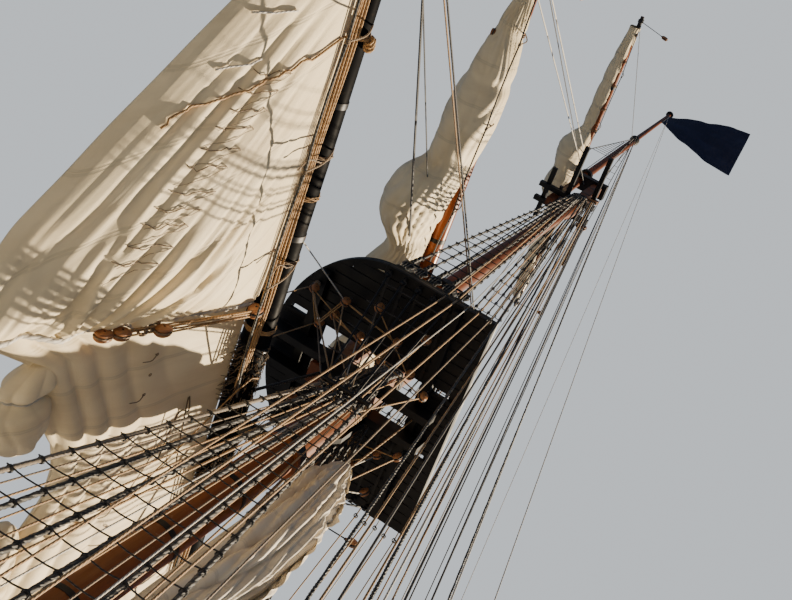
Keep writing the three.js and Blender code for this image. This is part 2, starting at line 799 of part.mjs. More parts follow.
// x, centre y, centre z, half size in y, half size in z
const topsailStations = mirrored([
  [0, 330, -500, 200, 500],
  [400, 340, -720, 220, 720],
  [700, 290, -400, 200, 420],
  [1050, 280, -720, 230, 740],
  [1400, 270, -800, 250, 820],
  [1800, 110, -440, 280, 540],
  [2300, 40, -340, 300, 430],
  [2900, 50, -300, 310, 380],
  [3500, 75, -230, 270, 310],
  [4100, 100, -150, 165, 230],
  [4700, 65, -75, 85, 130],
  [5000, 45, -35, 55, 85],
]);
const topgallantStations = mirrored([
  [0, 190, -130, 190, 330],
  [450, 180, -110, 180, 310],
  [950, 120, 40, 130, 150],
  [1800, 105, 50, 115, 130],
  [2700, 85, 40, 95, 110],
  [3350, 60, 25, 70, 85],
]);

const lowerRing = ring(truss.inner, truss.outer, -truss.height / 2, truss.height / 2, 24);
piece("lower_yard_truss",
  trussShape(lowerYard, lowerRing, truss.outer, truss.armWidth, truss.armHeight), "iron", group, 0,
  lowerYard.z);
piece("lower_yard", yardShape(lowerYard), "blackPaint", group, lowerYard.ahead, lowerYard.z);
piece("course_sail", courseShape(), "canvas", group, lowerYard.ahead, lowerYard.z);

// One upper yard, with its spool on the mast, its truss ring and its sail
function upperYard(name, yard, parrel, frame, stations) {
  const { inner, sleeve, flange, height, plate: flangeHeight } = parrel;
  const half = height / 2;
  const spool = turned([
    [inner, -half],
    [flange, -half],
    [flange, -half + flangeHeight],
    [sleeve, -half + flangeHeight],
    [sleeve, half - flangeHeight],
    [flange, half - flangeHeight],
    [flange, half],
    [inner, half],
    [inner, -half],
  ], 16);
  const turningRing = ring(sleeve + turning, parrel.ring, -half + flangeHeight + seat,
    half - flangeHeight - turning, 16);
  piece(`${name}_parrel`, spool, "iron", frame, 0, yard.z);
  piece(`${name}_truss`,
    trussShape(yard, turningRing, parrel.ring, yard.radius * 1.1, parrel.arm), "iron", frame, 0,
    yard.z);
  piece(`${name}_yard`, yardShape(yard), "brightSpar", frame, yard.ahead, yard.z);
  piece(`${name}_sail`, bundleShape(yard, stations), "canvas", frame, yard.ahead, yard.z);
}

upperYard("topsail", topsailYard, topsailParrel, topmastFrame, topsailStations);
upperYard("topgallant", topgallantYard, topgallantParrel, topgallantFrame, topgallantStations);

// The sail that is brailed in abaft the lower mast, on its halyard, with a lashing round the mast.
// Each station is z, the section's centre in y, and its half sizes in x and y.
function brailedSailShape() {
  const stations = [
    [5000, -370, 90, 100],
    [6200, -450, 150, 140],
    [8000, -640, 230, 260],
    [9600, -820, 300, 400],
    [11000, -950, 360, 520],
    [12100, -960, 360, 500],
    [12800, -830, 300, 380],
    [13250, -720, 130, 170],
    [13400, -700, 50, 60],
  ];
  const corners = 10;
  const sections = stations.map(([z, cy, rx, ry]) => {
    const section = [];
    for (let i = 0; i < corners; i += 1) {
      const angle = (2 * Math.PI * i) / corners;
      section.push(point(rx * Math.cos(angle), cy + ry * Math.sin(angle), z));
    }
    return section;
  });
  const lashingZ = 5100;
  const mast = disc(lowerMastRadius(lashingZ - 200) + seat, 0, 20000, 24);
  const lashing = ring(lowerMastRadius(lashingZ) + seat * 2, lowerMastRadius(lashingZ) + 60,
    lashingZ, lashingZ + 90, 24);
  const halyardTop = point(0, crosstree.aft.y, trestle.top);
  const halyard = bar(point(0, -700, 13300), halyardTop, 22);
  return join([loft(sections).subtract(mast), lashing, halyard]);
}

piece("brailed_sail", brailedSailShape(), "canvas");

// The flag flies aft from the pole and twists until its outer end lies flat
function flagShape() {
  const hoist = { top: 10150, bottom: 9250 };
  const half = 10;
  const { pole } = topgallantMast;
  const poleShare = (hoist.bottom - pole.straightTo) / (pole.top - pole.straightTo);
  const poleRadius = pole.radius + poleShare * (pole.tipRadius - pole.radius);
  const stations = 7;
  const sections = [];
  for (let i = 0; i < stations; i += 1) {
    const t = i / (stations - 1);
    const height = 450 + 150 * t;
    const twist = (Math.PI / 2) * 0.95 * t;
    const centre = point(-100 * t * t, -poleRadius - seat - 2200 * t,
      (hoist.top + hoist.bottom) / 2 - 380 * t * t);
    const across = new THREE.Vector3(-Math.sin(twist), 0, Math.cos(twist));
    const through = new THREE.Vector3(Math.cos(twist), 0, Math.sin(twist));
    sections.push([[-1, -1], [1, -1], [1, 1], [-1, 1]].map(([u, v]) => centre.clone()
      .addScaledVector(across, v * height)
      .addScaledVector(through, u * half)));
  }
  return loft(sections, 2);
}

piece("flag", flagShape(), "bunting", topgallantFrame);

export default group;
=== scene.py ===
# One mast of a square-rigged ship: spars, top, standing rigging, yards and hanging sails.
# Metres. X is to starboard, Y forward and Z up, from deck level on the lower mast's axis.

import math
import random

import bpy
import numpy as np
from mathutils import Matrix, Vector


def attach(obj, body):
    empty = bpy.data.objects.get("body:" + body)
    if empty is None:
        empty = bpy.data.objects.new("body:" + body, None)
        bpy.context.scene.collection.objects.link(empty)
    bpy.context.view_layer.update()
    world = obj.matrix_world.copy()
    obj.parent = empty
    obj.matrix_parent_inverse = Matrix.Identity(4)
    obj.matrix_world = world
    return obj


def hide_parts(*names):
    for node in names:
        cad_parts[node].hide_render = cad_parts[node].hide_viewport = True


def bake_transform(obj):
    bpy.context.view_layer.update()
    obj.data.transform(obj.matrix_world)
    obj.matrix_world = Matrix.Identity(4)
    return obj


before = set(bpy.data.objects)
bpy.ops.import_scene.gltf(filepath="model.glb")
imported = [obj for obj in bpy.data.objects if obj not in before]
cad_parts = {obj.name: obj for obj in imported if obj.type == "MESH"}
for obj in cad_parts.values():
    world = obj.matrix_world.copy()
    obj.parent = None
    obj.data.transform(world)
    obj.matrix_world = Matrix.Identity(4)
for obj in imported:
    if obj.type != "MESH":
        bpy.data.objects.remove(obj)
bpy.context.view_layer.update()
sides = {"port": -1, "starboard": 1}
triangles = {"made": 0}

# Camera: low on the port side abaft the mast, looking steeply up

view = {"eye": (-8.377, -4.457, 2.129), "right": (-0.321791, -0.824626, 0.465234),
        "up": (-0.830883, 0.481545, 0.278835), "back": (-0.453965, -0.296828, -0.840124),
        "sensor": 36, "focalPixels": 1203.85, "imagePixels": 792, "farthest": 300}
camera = bpy.data.objects.new("camera", bpy.data.cameras.new("camera"))
bpy.context.scene.collection.objects.link(camera)
camera.data.sensor_width = view["sensor"]
camera.data.lens = view["sensor"] * view["focalPixels"] / view["imagePixels"]
camera.data.clip_end = view["farthest"]
camera.matrix_world = Matrix.LocRotScale(
    Vector(view["eye"]),
    Matrix((view["right"], view["up"], view["back"])).transposed().to_quaternion(), None)
bpy.context.scene.camera = camera

# Frames of the two upper masts, which lean forward

heels = {"topmast": (0, 0.63, 14.7), "topgallant": (0, 1.1452, 24.5)}
leans = {"topmast": -0.014, "topgallant": -0.045}
topmastFrame, topgallantFrame = (
    Matrix.Translation(heels[k]) @ Matrix.Rotation(leans[k], 4, "X") for k in heels)
shipFrame = Matrix.Identity(4)


def onSide(sign, place):
    # A place given for the starboard side, on the side that sign tells
    x, y, z = place
    return Vector((sign * x, y, z))


def inTopmast(x, y, z):
    return topmastFrame @ Vector((x, y, z))


def inTopgallant(x, y, z):
    return topgallantFrame @ Vector((x, y, z))


# Meshes

ropeForm = {"strands": 3, "lobe": 0.13, "pitchInRadii": 7.5, "stepsPerPitch": 5}
sharpAngle = math.radians(35)


def unit(v):
    return v / np.maximum(np.linalg.norm(v, axis=-1, keepdims=True), 1e-12)


def curveThrough(points, step):
    # Even points on a smooth curve through a few
    p = np.array([tuple(q) for q in points], float)
    if len(p) == 2:
        n = max(2, int(np.linalg.norm(p[1] - p[0]) / step) + 1)
        return p[0] + (p[1] - p[0]) * np.linspace(0, 1, n)[:, None]
    ends = np.vstack([2 * p[0] - p[1], p, 2 * p[-1] - p[-2]])
    dense = []
    for i in range(len(p) - 1):
        a, b, c, d = ends[i:i + 4]
        t = np.linspace(0, 1, 24, endpoint=False)[:, None]  # fine steps, evened out below
        dense.append(0.5 * (2 * b + (c - a) * t + (2 * a - 5 * b + 4 * c - d) * t ** 2
                            + (3 * b - a - 3 * c + d) * t ** 3))
    dense = np.vstack(dense + [p[-1:]])
    run = np.concatenate([[0], np.cumsum(np.linalg.norm(np.diff(dense, axis=0), axis=1))])
    n = max(3, int(run[-1] / step) + 1)
    at = np.linspace(0, run[-1], n)
    return np.stack([np.interp(at, run, dense[:, k]) for k in range(3)], 1)


def sagged(a, b, drop, count=12):
    # A slack line between two points, hanging by drop in the middle
    a, b = np.array(tuple(a), float), np.array(tuple(b), float)
    t = np.linspace(0, 1, count + 1)[:, None]
    line = a + (b - a) * t
    line[:, 2] -= 4 * drop * (t * (1 - t))[:, 0]
    return line


class Parts:  # gathers parts into one mesh, its UV map the place along and round each rope
    def __init__(self):
        self.verts, self.faces, self.uvs, self.slots, self.count = [], [], [], [], 0

    def add(self, verts, faces, uv=None, slot=0):
        verts = np.asarray(verts, float)
        faces = np.asarray(faces, int)
        self.verts.append(verts)
        self.faces.append(faces + self.count)
        if uv is None:
            uv = np.zeros((*faces.shape, 2))
        self.uvs.append(uv)
        self.slots.append(np.full(len(faces), slot))
        self.count += len(verts)

    def grid(self, points, closed=False, caps=False, uv=None, slot=0, flip=False):
        # A skin over rows of points, as points[row, column]
        rows, cols = points.shape[:2]
        across = cols if closed else cols - 1
        i, j = np.meshgrid(np.arange(rows - 1), np.arange(across), indexing="ij")
        i, j = i.ravel(), j.ravel()
        k = (j + 1) % cols
        quads = np.stack([i * cols + j, i * cols + k, (i + 1) * cols + k, (i + 1) * cols + j], 1)
        if uv is None:
            run = np.concatenate([[0], np.cumsum(np.linalg.norm(
                np.diff(points.mean(1), axis=0), axis=1))])
            u = np.stack([run[i], run[i], run[i + 1], run[i + 1]], 1)
            v = np.stack([j, j + 1, j + 1, j], 1) / across
            corner = np.stack([u, v], 2)
        else:
            corner = uv.reshape(-1, 2)[quads]
        if flip:
            quads, corner = quads[:, ::-1], corner[:, ::-1]
        self.add(points.reshape(-1, 3), quads, corner, slot)
        if caps:
            base = self.count - rows * cols
            for ring, turn in ((np.arange(cols), 1), (np.arange(cols) + (rows - 1) * cols, -1)):
                ring = ring[::-turn]
                fan = np.stack([np.full(cols - 2, ring[0]), ring[1:-1], ring[2:]], 1)
                if flip:
                    fan = fan[:, ::-1]
                fan = np.concatenate([fan, fan[:, -1:]], 1)  # a triangle in the form of a quad
                self.faces.append(fan + base)
                self.uvs.append(np.zeros((*fan.shape, 2)))
                self.slots.append(np.full(len(fan), slot))

    def tube(self, path, radius, ring=6, slot=0, pitch=0.0, lobe=0.0):
        # A round or stranded rope along a row of points
        p = np.asarray([tuple(q) for q in path], float)
        n = len(p)
        tangent = unit(np.gradient(p, axis=0))
        start = np.array([0.0, 1, 0]) if abs(tangent[0, 1]) < 0.9 else np.array([1.0, 0, 0])
        across = np.zeros((n, 3))
        across[0] = unit(np.cross(tangent[0], start))
        for i in range(1, n):
            side = across[i - 1] - tangent[i] * np.dot(across[i - 1], tangent[i])
            across[i] = side / max(np.linalg.norm(side), 1e-9)
        other = np.cross(tangent, across)
        run = np.concatenate([[0], np.cumsum(np.linalg.norm(np.diff(p, axis=0), axis=1))])
        angle = np.arange(ring) * 2 * math.pi / ring
        r = np.broadcast_to(np.asarray(radius, float).reshape(-1, 1), (n, 1))
        r = r * (1 + lobe * np.cos(ropeForm["strands"] * angle))[None, :]
        turn = angle[None, :] + (2 * math.pi * run / pitch if pitch else 0 * run)[:, None]
        points = (p[:, None] + across[:, None] * (r * np.cos(turn))[..., None]
                  + other[:, None] * (r * np.sin(turn))[..., None])
        self.grid(points, closed=True, caps=True, slot=slot)

    def rope(self, path, radius, slot=0, fine=1.0, ring=6):
        # A laid rope, its strands in the mesh, and fine its share of full detail
        pitch = radius * ropeForm["pitchInRadii"]
        step = pitch / (ropeForm["stepsPerPitch"] * fine)
        self.tube(curveThrough(path, step), radius, ring, slot, pitch, ropeForm["lobe"])

    def lathe(self, profile, count, matrix=None, slot=0):
        # Turned about Z from a profile of radius and height
        angle = np.arange(count) * 2 * math.pi / count
        profile = np.array(profile, float)
        points = np.stack([
            profile[:, :1] * np.cos(angle), profile[:, :1] * np.sin(angle),
            np.repeat(profile[:, 1:], count, 1)], 2)
        self.grid(moved(points, matrix), closed=True, caps=True, slot=slot, flip=True)

    def block(self, low, high, matrix=None, slot=0, bevel=0.0):
        # A box between two corners, its edges cut off by bevel
        low, high = np.array(low, float), np.array(high, float)
        mid, half = (low + high) / 2, (high - low) / 2
        b = min(bevel, half.min() * 0.9)
        ring = [corner for corner in ((-1, -1), (1, -1), (1, 1), (-1, 1)) for _ in range(2)]
        rows = []
        for z, inset in ((-1, b), (-1, 0), (1, 0), (1, b)):
            row = []
            for k, (sx, sy) in enumerate(ring):
                alongX = k in (1, 2, 5, 6)
                x = sx * (half[0] - (b if alongX else inset))
                y = sy * (half[1] - (inset if alongX else b))
                row.append((x, y, z * (half[2] - (0 if inset else b))))
            rows.append(row)
        points = np.array(rows) + mid
        self.grid(moved(points, matrix), closed=True, caps=True, slot=slot)

    def turnsRound(self, centre, axis, radius, wire, turns=3, slot=0, ring=5, squash=1.0):
        # A lashing: a few turns of line round an axis
        axis = unit(np.array(tuple(axis), float))
        start = np.array([0.0, 1, 0]) if abs(axis[1]) < 0.9 else np.array([1.0, 0, 0])
        across = unit(np.cross(axis, start))
        other = np.cross(axis, across)
        t = np.linspace(0, 1, max(8, int(9 * turns)))
        angle = 2 * math.pi * turns * t
        path = (np.array(tuple(centre)) + axis * ((t - 0.5) * turns * 2.1 * wire)[:, None]
                + across * (radius * np.cos(angle))[:, None]
                + other * (radius * squash * np.sin(angle))[:, None])
        self.tube(path, wire, ring, slot)

    def make(self, name, finishes, body="root"):
        verts = np.vstack(self.verts)
        faces = np.vstack(self.faces)
        uvs = np.vstack(self.uvs)
        slots = np.concatenate(self.slots)
        triangle = faces[:, 3] == faces[:, 2]
        sizes = np.where(triangle, 3, 4)
        mesh = bpy.data.meshes.new(name)
        mesh.vertices.add(len(verts))
        mesh.vertices.foreach_set("co", verts.astype(np.float32).ravel())
        keep = np.ones(faces.shape, bool)
        keep[triangle, 3] = False
        mesh.loops.add(int(sizes.sum()))
        mesh.loops.foreach_set("vertex_index", faces[keep].astype(np.int32))
        mesh.polygons.add(len(faces))
        starts = np.concatenate([[0], np.cumsum(sizes)[:-1]])
        mesh.polygons.foreach_set("loop_start", starts.astype(np.int32))
        mesh.polygons.foreach_set("loop_total", sizes.astype(np.int32))
        mesh.polygons.foreach_set("material_index", slots.astype(np.int32))
        mesh.polygons.foreach_set("use_smooth", np.ones(len(faces), bool))
        layer = mesh.uv_layers.new(name="lay")
        layer.data.foreach_set("uv", uvs[keep].astype(np.float32).ravel())
        mesh.update(calc_edges=True)
        mesh.validate()
        for finish in finishes:
            mesh.materials.append(finish)
        piece = bpy.data.objects.new(name, mesh)
        bpy.context.scene.collection.objects.link(piece)
        if body:
            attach(piece, body)
        triangles["made"] += int((sizes - 2).sum())
        return piece


def moved(points, matrix):
    if matrix is None:
        return points
    held = np.array(matrix)
    return points @ held[:3, :3].T + held[:3, 3]


def frameAt(origin, z, x):
    # A matrix whose Z axis lies along a direction, with its X axis near another
    z = Vector(z).normalized()
    y = z.cross(Vector(x)).normalized()
    return Matrix.Translation(origin) @ Matrix((y.cross(z), y, z)).transposed().to_4x4()


def sharpen(piece):
    # Smooth shading that keeps the sharper edges
    mesh = piece.data
    mesh.polygons.foreach_set("use_smooth", np.ones(len(mesh.polygons), bool))
    mesh.set_sharp_from_angle(angle=sharpAngle)


# Shader node groups

groups = {}


def nodeGroup(name, inputs, outputs):
    group = bpy.data.node_groups.new(name, "ShaderNodeTree")
    for label, kind, value in inputs:
        socket = group.interface.new_socket(name=label, in_out="INPUT", socket_type=kind)
        if value is not None:
            socket.default_value = value
    for label, kind in outputs:
        group.interface.new_socket(name=label, in_out="OUTPUT", socket_type=kind)
    groups[name] = group
    tree = Tree(group)
    return tree, tree.node("NodeGroupInput"), tree.node("NodeGroupOutput")


class Tree:  # short ways to add nodes and link them
    def __init__(self, tree):
        self.tree = tree

    def node(self, kind, values=None, **settings):
        made = self.tree.nodes.new(kind)
        for key, value in settings.items():
            setattr(made, key, value)
        for key, value in (values or {}).items():
            self.put(made.inputs[key], value)
        return made

    def put(self, socket, value):
        if isinstance(value, bpy.types.NodeSocket):
            self.tree.links.new(value, socket)
        else:
            socket.default_value = value

    def math(self, operation, a, b=0.0, clamp=False):
        return self.node("ShaderNodeMath", {0: a, 1: b}, operation=operation,
                         use_clamp=clamp).outputs[0]

    def mix(self, factor, a, b, blend="MIX"):
        made = self.node("ShaderNodeMix", data_type="RGBA", blend_type=blend)
        self.put(made.inputs[0], factor)
        self.put(made.inputs[6], a)
        self.put(made.inputs[7], b)
        return made.outputs[2]

    def noise(self, vector, scale, detail=4.0, rough=0.55, stretch=None):
        if stretch:
            vector = self.node("ShaderNodeMapping", {"Vector": vector, "Scale": stretch}).outputs[0]
        return self.node("ShaderNodeTexNoise", {
            "Vector": vector, "Scale": scale, "Detail": detail, "Roughness": rough}).outputs[0]

    def ramp(self, value, low, high):
        return self.node("ShaderNodeMapRange", {
            "Value": value, "From Min": low, "From Max": high}, clamp=True).outputs[0]

    def use(self, name, **values):
        made = self.node("ShaderNodeGroup", node_tree=groups[name])
        for key, value in values.items():
            self.put(made.inputs[key], value)
        return made.outputs

    def place(self):
        return self.node("ShaderNodeTexCoord").outputs["Object"]

    def lay(self):
        return self.node("ShaderNodeUVMap", uv_map="lay").outputs[0]


value, vector = "NodeSocketFloat", "NodeSocketVector"
fullTurn = 6.2832  # radians, as the rope's nodes count them
threadWaves = 1400.0  # radians of weave for each metre of cloth


def buildGroups():
    # Twisted strands and loose fibres of a laid rope, from its UV map, and painted shade in the
    # grooves between the strands
    t, i, o = nodeGroup("ropeLay", [("Strands", value, 3.0), ("Pitch", value, 0.1)],
                        [("Height", value), ("GrooveShade", value), ("Fibre", value)])
    place = t.node("ShaderNodeSeparateXYZ", {0: t.lay()})
    turns = t.math("DIVIDE", place.outputs[0], i.outputs["Pitch"])
    wound = t.math("ADD", t.math("MULTIPLY", turns, fullTurn), t.math(
        "MULTIPLY", t.math("MULTIPLY", place.outputs[1], i.outputs["Strands"]), fullTurn))
    wave = t.math("ABSOLUTE", t.math("SINE", t.math("MULTIPLY", wound, 0.5)))
    fibre = t.noise(t.place(), 240.0, 2.0)
    t.put(o.inputs["Height"], t.math("ADD", wave, t.math("MULTIPLY", fibre, 0.35)))
    # painted shade, darkest in the grooves between the strands
    t.put(o.inputs["GrooveShade"], t.math("SUBTRACT", 1.0, t.ramp(wave, 0.0, 0.55)))
    t.put(o.inputs["Fibre"], fibre)

    # Grain of a spar that was worked along Z or X
    t, i, o = nodeGroup("woodGrain", [("Vector", vector, None)],
                        [("Grain", value), ("Pores", value), ("Blotch", value)])
    spot = i.outputs["Vector"]
    bands = t.noise(spot, 7.0, 6.0, 0.6)
    fine = t.noise(spot, 46.0, 3.0, 0.7)
    t.put(o.inputs["Grain"], t.ramp(t.math("ADD", t.math("MULTIPLY", bands, 0.7),
                                           t.math("MULTIPLY", fine, 0.4)), 0.42, 0.72))
    t.put(o.inputs["Pores"], fine)
    t.put(o.inputs["Blotch"], t.ramp(t.noise(t.place(), 0.8, 3.0), 0.35, 0.7))

    # Where paint is rubbed and chipped, and where dust settles
    t, i, o = nodeGroup("wornPaint", [("Amount", value, 0.5)],
                        [("Chips", value), ("Dust", value), ("Brush", value)])
    place = t.place()
    patches = t.noise(place, 2.1, 5.0, 0.65)
    small = t.noise(place, 19.0, 4.0, 0.7)
    chips = t.math("MULTIPLY", t.ramp(patches, 0.52, 0.72), t.ramp(small, 0.56, 0.66))
    t.put(o.inputs["Chips"], t.math("MULTIPLY", chips, i.outputs["Amount"], True))
    t.put(o.inputs["Dust"], t.ramp(t.noise(place, 3.4, 5.0, 0.6), 0.4, 0.75))
    t.put(o.inputs["Brush"], t.noise(place, 40.0, 2.0, 0.5, (1, 1, 0.15)))

    # Cloths sewn side by side, stains and fine weave of a sail, from its UV map in metres
    t, i, o = nodeGroup("sailCloth", [("Cloth", value, 0.61)],
                        [("Seam", value), ("Stain", value), ("Weave", value), ("Crease", value)])
    place = t.node("ShaderNodeSeparateXYZ", {0: t.lay()})
    across = t.math("FRACT", t.math("DIVIDE", place.outputs[0], i.outputs["Cloth"]))
    edge = t.math("ABSOLUTE", t.math("SUBTRACT", across, 0.5))
    seam = t.ramp(edge, 0.455, 0.47)
    stitched = t.math("MULTIPLY", seam, t.math("SUBTRACT", 1.0, t.ramp(edge, 0.492, 0.5)))
    t.put(o.inputs["Seam"], stitched)
    streak = t.noise(t.lay(), 1.3, 5.0, 0.62, (2.2, 0.45, 1))
    t.put(o.inputs["Stain"], t.ramp(streak, 0.44, 0.74))
    threadU = t.math("SINE", t.math("MULTIPLY", place.outputs[0], threadWaves))
    threadV = t.math("SINE", t.math("MULTIPLY", place.outputs[1], threadWaves))
    t.put(o.inputs["Weave"], t.math("MULTIPLY", threadU, threadV))
    t.put(o.inputs["Crease"], t.noise(t.lay(), 5.0, 5.0, 0.6, (1.0, 0.5, 1)))


materials = {}


def newMaterial(name, base, rough, metal=0.0, coat=0.0, sheen=0.0):
    material = bpy.data.materials.new(name)
    material.use_nodes = True
    tree = Tree(material.node_tree)
    shader = material.node_tree.nodes["Principled BSDF"]
    tree.put(shader.inputs["Base Color"], base if not isinstance(base, tuple) else (*base, 1))
    tree.put(shader.inputs["Roughness"], rough)
    tree.put(shader.inputs["Metallic"], metal)
    shader.inputs["Coat Weight"].default_value = coat
    shader.inputs["Coat Roughness"].default_value = 0.18
    shader.inputs["Sheen Weight"].default_value = sheen
    materials[name] = material
    return tree, shader


def bump(tree, shader, height, strength, distance):
    made = tree.node("ShaderNodeBump", {"Height": height, "Strength": strength,
                                        "Distance": distance})
    tree.put(shader.inputs["Normal"], made.outputs[0])


def ropeMaterial(name, light, grooveShade, rough, pitch, strength=0.6):
    # light is the rope's own colour; the second colour is the painted shade in the grooves between
    # strands
    t, shader = newMaterial(name, light, rough, sheen=0.15)
    lay = t.use("ropeLay", Pitch=pitch)
    age = t.ramp(t.noise(t.place(), 3.0, 4.0), 0.3, 0.75)
    tone = t.mix(age, (*light, 1), (*[c * 0.72 for c in light], 1))
    # painted shade in the grooves between strands, mixed with some of the fibres' own uneven tone
    shade = t.math("ADD", t.math("MULTIPLY", lay["GrooveShade"], 0.75),
                   t.math("MULTIPLY", lay["Fibre"], 0.2), True)
    t.put(shader.inputs["Base Color"], t.mix(shade, tone, (*grooveShade, 1)))
    t.put(shader.inputs["Roughness"], t.ramp(lay["Fibre"], -1.2, 1.2 + (1 - rough)))
    bump(t, shader, lay["Height"], strength, 0.006 + 0.05 * pitch)  # deeper on thick rope


def woodMaterial(name, pale, deep, rough, along, coat, marks=0.4):
    t, shader = newMaterial(name, pale, rough, coat=coat)
    shader.inputs["IOR"].default_value = 1.3
    spot = t.node("ShaderNodeMapping", {"Vector": t.place(), "Scale": along}).outputs[0]
    grain = t.use("woodGrain", Vector=spot)
    wear = t.use("wornPaint", Amount=marks)
    tone = t.mix(grain["Grain"], (*pale, 1), (*deep, 1))
    tone = t.mix(t.math("MULTIPLY", grain["Blotch"], 0.4), tone, (*[c * 0.6 for c in deep], 1))
    tone = t.mix(wear["Chips"], tone, (0.42, 0.34, 0.24, 1))
    t.put(shader.inputs["Base Color"], tone)
    t.put(shader.inputs["Roughness"], t.math("ADD", t.math("MULTIPLY", wear["Dust"], 0.25),
                                             t.math("ADD", rough - 0.1, wear["Chips"]), True))
    t.put(shader.inputs["Coat Weight"], t.math(
        "MULTIPLY", t.math("SUBTRACT", 1.0, wear["Chips"]), coat, True))
    bump(t, shader, t.math("ADD", grain["Pores"], t.math("MULTIPLY", wear["Chips"], -1.0)),
         0.25, 0.003)


def paintMaterial(name, base, worn, rough, metal=0.0, amount=0.5, gloss=1.45):
    t, shader = newMaterial(name, base, rough, metal)
    shader.inputs["IOR"].default_value = gloss
    wear = t.use("wornPaint", Amount=amount)
    dusty = t.mix(t.math("MULTIPLY", wear["Dust"], 0.35), (*base, 1),
                  (*[c * 0.7 + 0.012 for c in base], 1))
    t.put(shader.inputs["Base Color"], t.mix(wear["Chips"], dusty, (*worn, 1)))
    t.put(shader.inputs["Roughness"], t.math("ADD", t.math("MULTIPLY", wear["Dust"], 0.3),
                                             t.math("ADD", rough - 0.12, wear["Chips"]), True))
    bump(t, shader, t.math("ADD", wear["Brush"], t.math("MULTIPLY", wear["Chips"], -2.0)),
         0.2, 0.002)


def canvasMaterial(name, light, stain, strength=1.0):
    t, shader = newMaterial(name, light, 0.82, sheen=0.2)
    cloth = t.use("sailCloth")
    blotch = t.ramp(t.noise(t.place(), 0.9, 5.0, 0.6), 0.35, 0.75)
    tone = t.mix(t.math("MULTIPLY", cloth["Stain"], 0.42 * strength), (*light, 1), (*stain, 1))
    tone = t.mix(t.math("MULTIPLY", blotch, 0.22 * strength), tone,
                 (stain[0] * 0.8, stain[1] * 0.8, stain[2] * 0.85, 1))
    tone = t.mix(t.math("MULTIPLY", cloth["Seam"], 0.4), tone,
                 (*[c * 0.62 for c in light], 1))
    t.put(shader.inputs["Base Color"], tone)
    t.put(shader.inputs["Roughness"], t.ramp(cloth["Crease"], -1.4, 1.7))
    height = t.math("ADD", t.math("MULTIPLY", cloth["Weave"], 0.04),
                    t.math("ADD", t.math("MULTIPLY", cloth["Seam"], 0.35), cloth["Crease"]))
    bump(t, shader, height, 0.35, 0.02)


def buildMaterials():
    buildGroups()
    woodMaterial("mastVarnish", (0.25, 0.082, 0.024), (0.14, 0.043, 0.014), 0.5,
                 (1, 1, 0.07), 0.05)
    woodMaterial("poleVarnish", (0.17, 0.043, 0.009), (0.09, 0.023, 0.006), 0.5,
                 (1, 1, 0.07), 0.05)
    woodMaterial("sparVarnish", (0.36, 0.098, 0.022), (0.2, 0.05, 0.014), 0.38,
                 (0.07, 1, 1), 0.2)
    woodMaterial("blockWood", (0.45, 0.20, 0.075), (0.26, 0.10, 0.04), 0.42, (1, 1, 0.3), 0.3)
    paintMaterial("blackPaint", (0.005, 0.005, 0.006), (0.06, 0.05, 0.042), 0.5, gloss=1.3)
    paintMaterial("blackYard", (0.006, 0.006, 0.007), (0.12, 0.09, 0.06), 0.55, gloss=1.07)
    paintMaterial("iron", (0.018, 0.018, 0.02), (0.12, 0.045, 0.02), 0.5, 0.55, 0.7)
    paintMaterial("coatCanvas", (0.05, 0.052, 0.058), (0.2, 0.19, 0.17), 0.75)
    ropeMaterial("tarred", (0.052, 0.045, 0.037), (0.002, 0.002, 0.002), 0.5, 0.12, 1.0)
    ropeMaterial("tarredLine", (0.016, 0.014, 0.013), (0.005, 0.004, 0.004), 0.6, 0.05)
    ropeMaterial("manila", (0.47, 0.27, 0.10), (0.18, 0.09, 0.03), 0.8, 0.05)
    ropeMaterial("oldManila", (0.27, 0.18, 0.10), (0.10, 0.062, 0.033), 0.85, 0.05)
    ropeMaterial("paleRope", (0.72, 0.68, 0.6), (0.36, 0.31, 0.25), 0.7, 0.05)
    ropeMaterial("served", (0.30, 0.235, 0.165), (0.10, 0.075, 0.05), 0.8, 0.012)
    canvasMaterial("canvas", (0.86, 0.72, 0.46), (0.56, 0.40, 0.20))
    canvasMaterial("canvasAged", (0.78, 0.69, 0.53), (0.46, 0.37, 0.26), 1.2)
    t, shader = newMaterial("bunting", (0.008, 0.010, 0.030), 0.8)
    cloth = t.use("sailCloth", Cloth=0.45)
    t.put(shader.inputs["Base Color"], t.mix(cloth["Stain"], (0.008, 0.012, 0.042, 1),
                                             (0.018, 0.027, 0.080, 1)))
    bump(t, shader, cloth["Crease"], 0.3, 0.01)


buildMaterials()
m = materials
print("finishes made")

# Spars

lowerMast = {"deckRadius": 0.28, "houndsRadius": 0.236, "hounds": 13.9, "poleTop": 14.75,
             "stations": (0, 2, 4, 6, 8, 10, 12, 12.82), "sides": 56, "hoopHalf": 0.0375,
             "hoops": (0.35, 1.7, 3.1, 4.6, 6.2, 7.7, 9.2, 10.6, 11.8),
             "trussSeat": (12.828, 12.878, 0.052), "head": (0.17, 14.7, 17.9),
             "tenon": (0.11, 17.8, 18.24), "headBand": (0.1745, 0.035),
             "headBands": (15.75, 16.4, 17.1, 17.7)}
topmast = {"pole": ((0, 0.66), (0.153, 0.66), (0.165, 0.8), (0.165, 4.6), (0.132, 9.56),
                    (0.185, 9.82), (0.185, 10.1), (0, 10.1)),
           "squares": ((0, 0.2997, 0.16), (0.4210, 0.72, 0.16), (10.04, 11.75, 0.11),
                       (11.69, 11.96, 0.075)),
           "fidCheek": (0.16, 0.045, 0.16, 0.29, 0.43), "bands": (10.95, 11.4), "hoop": 3.45}
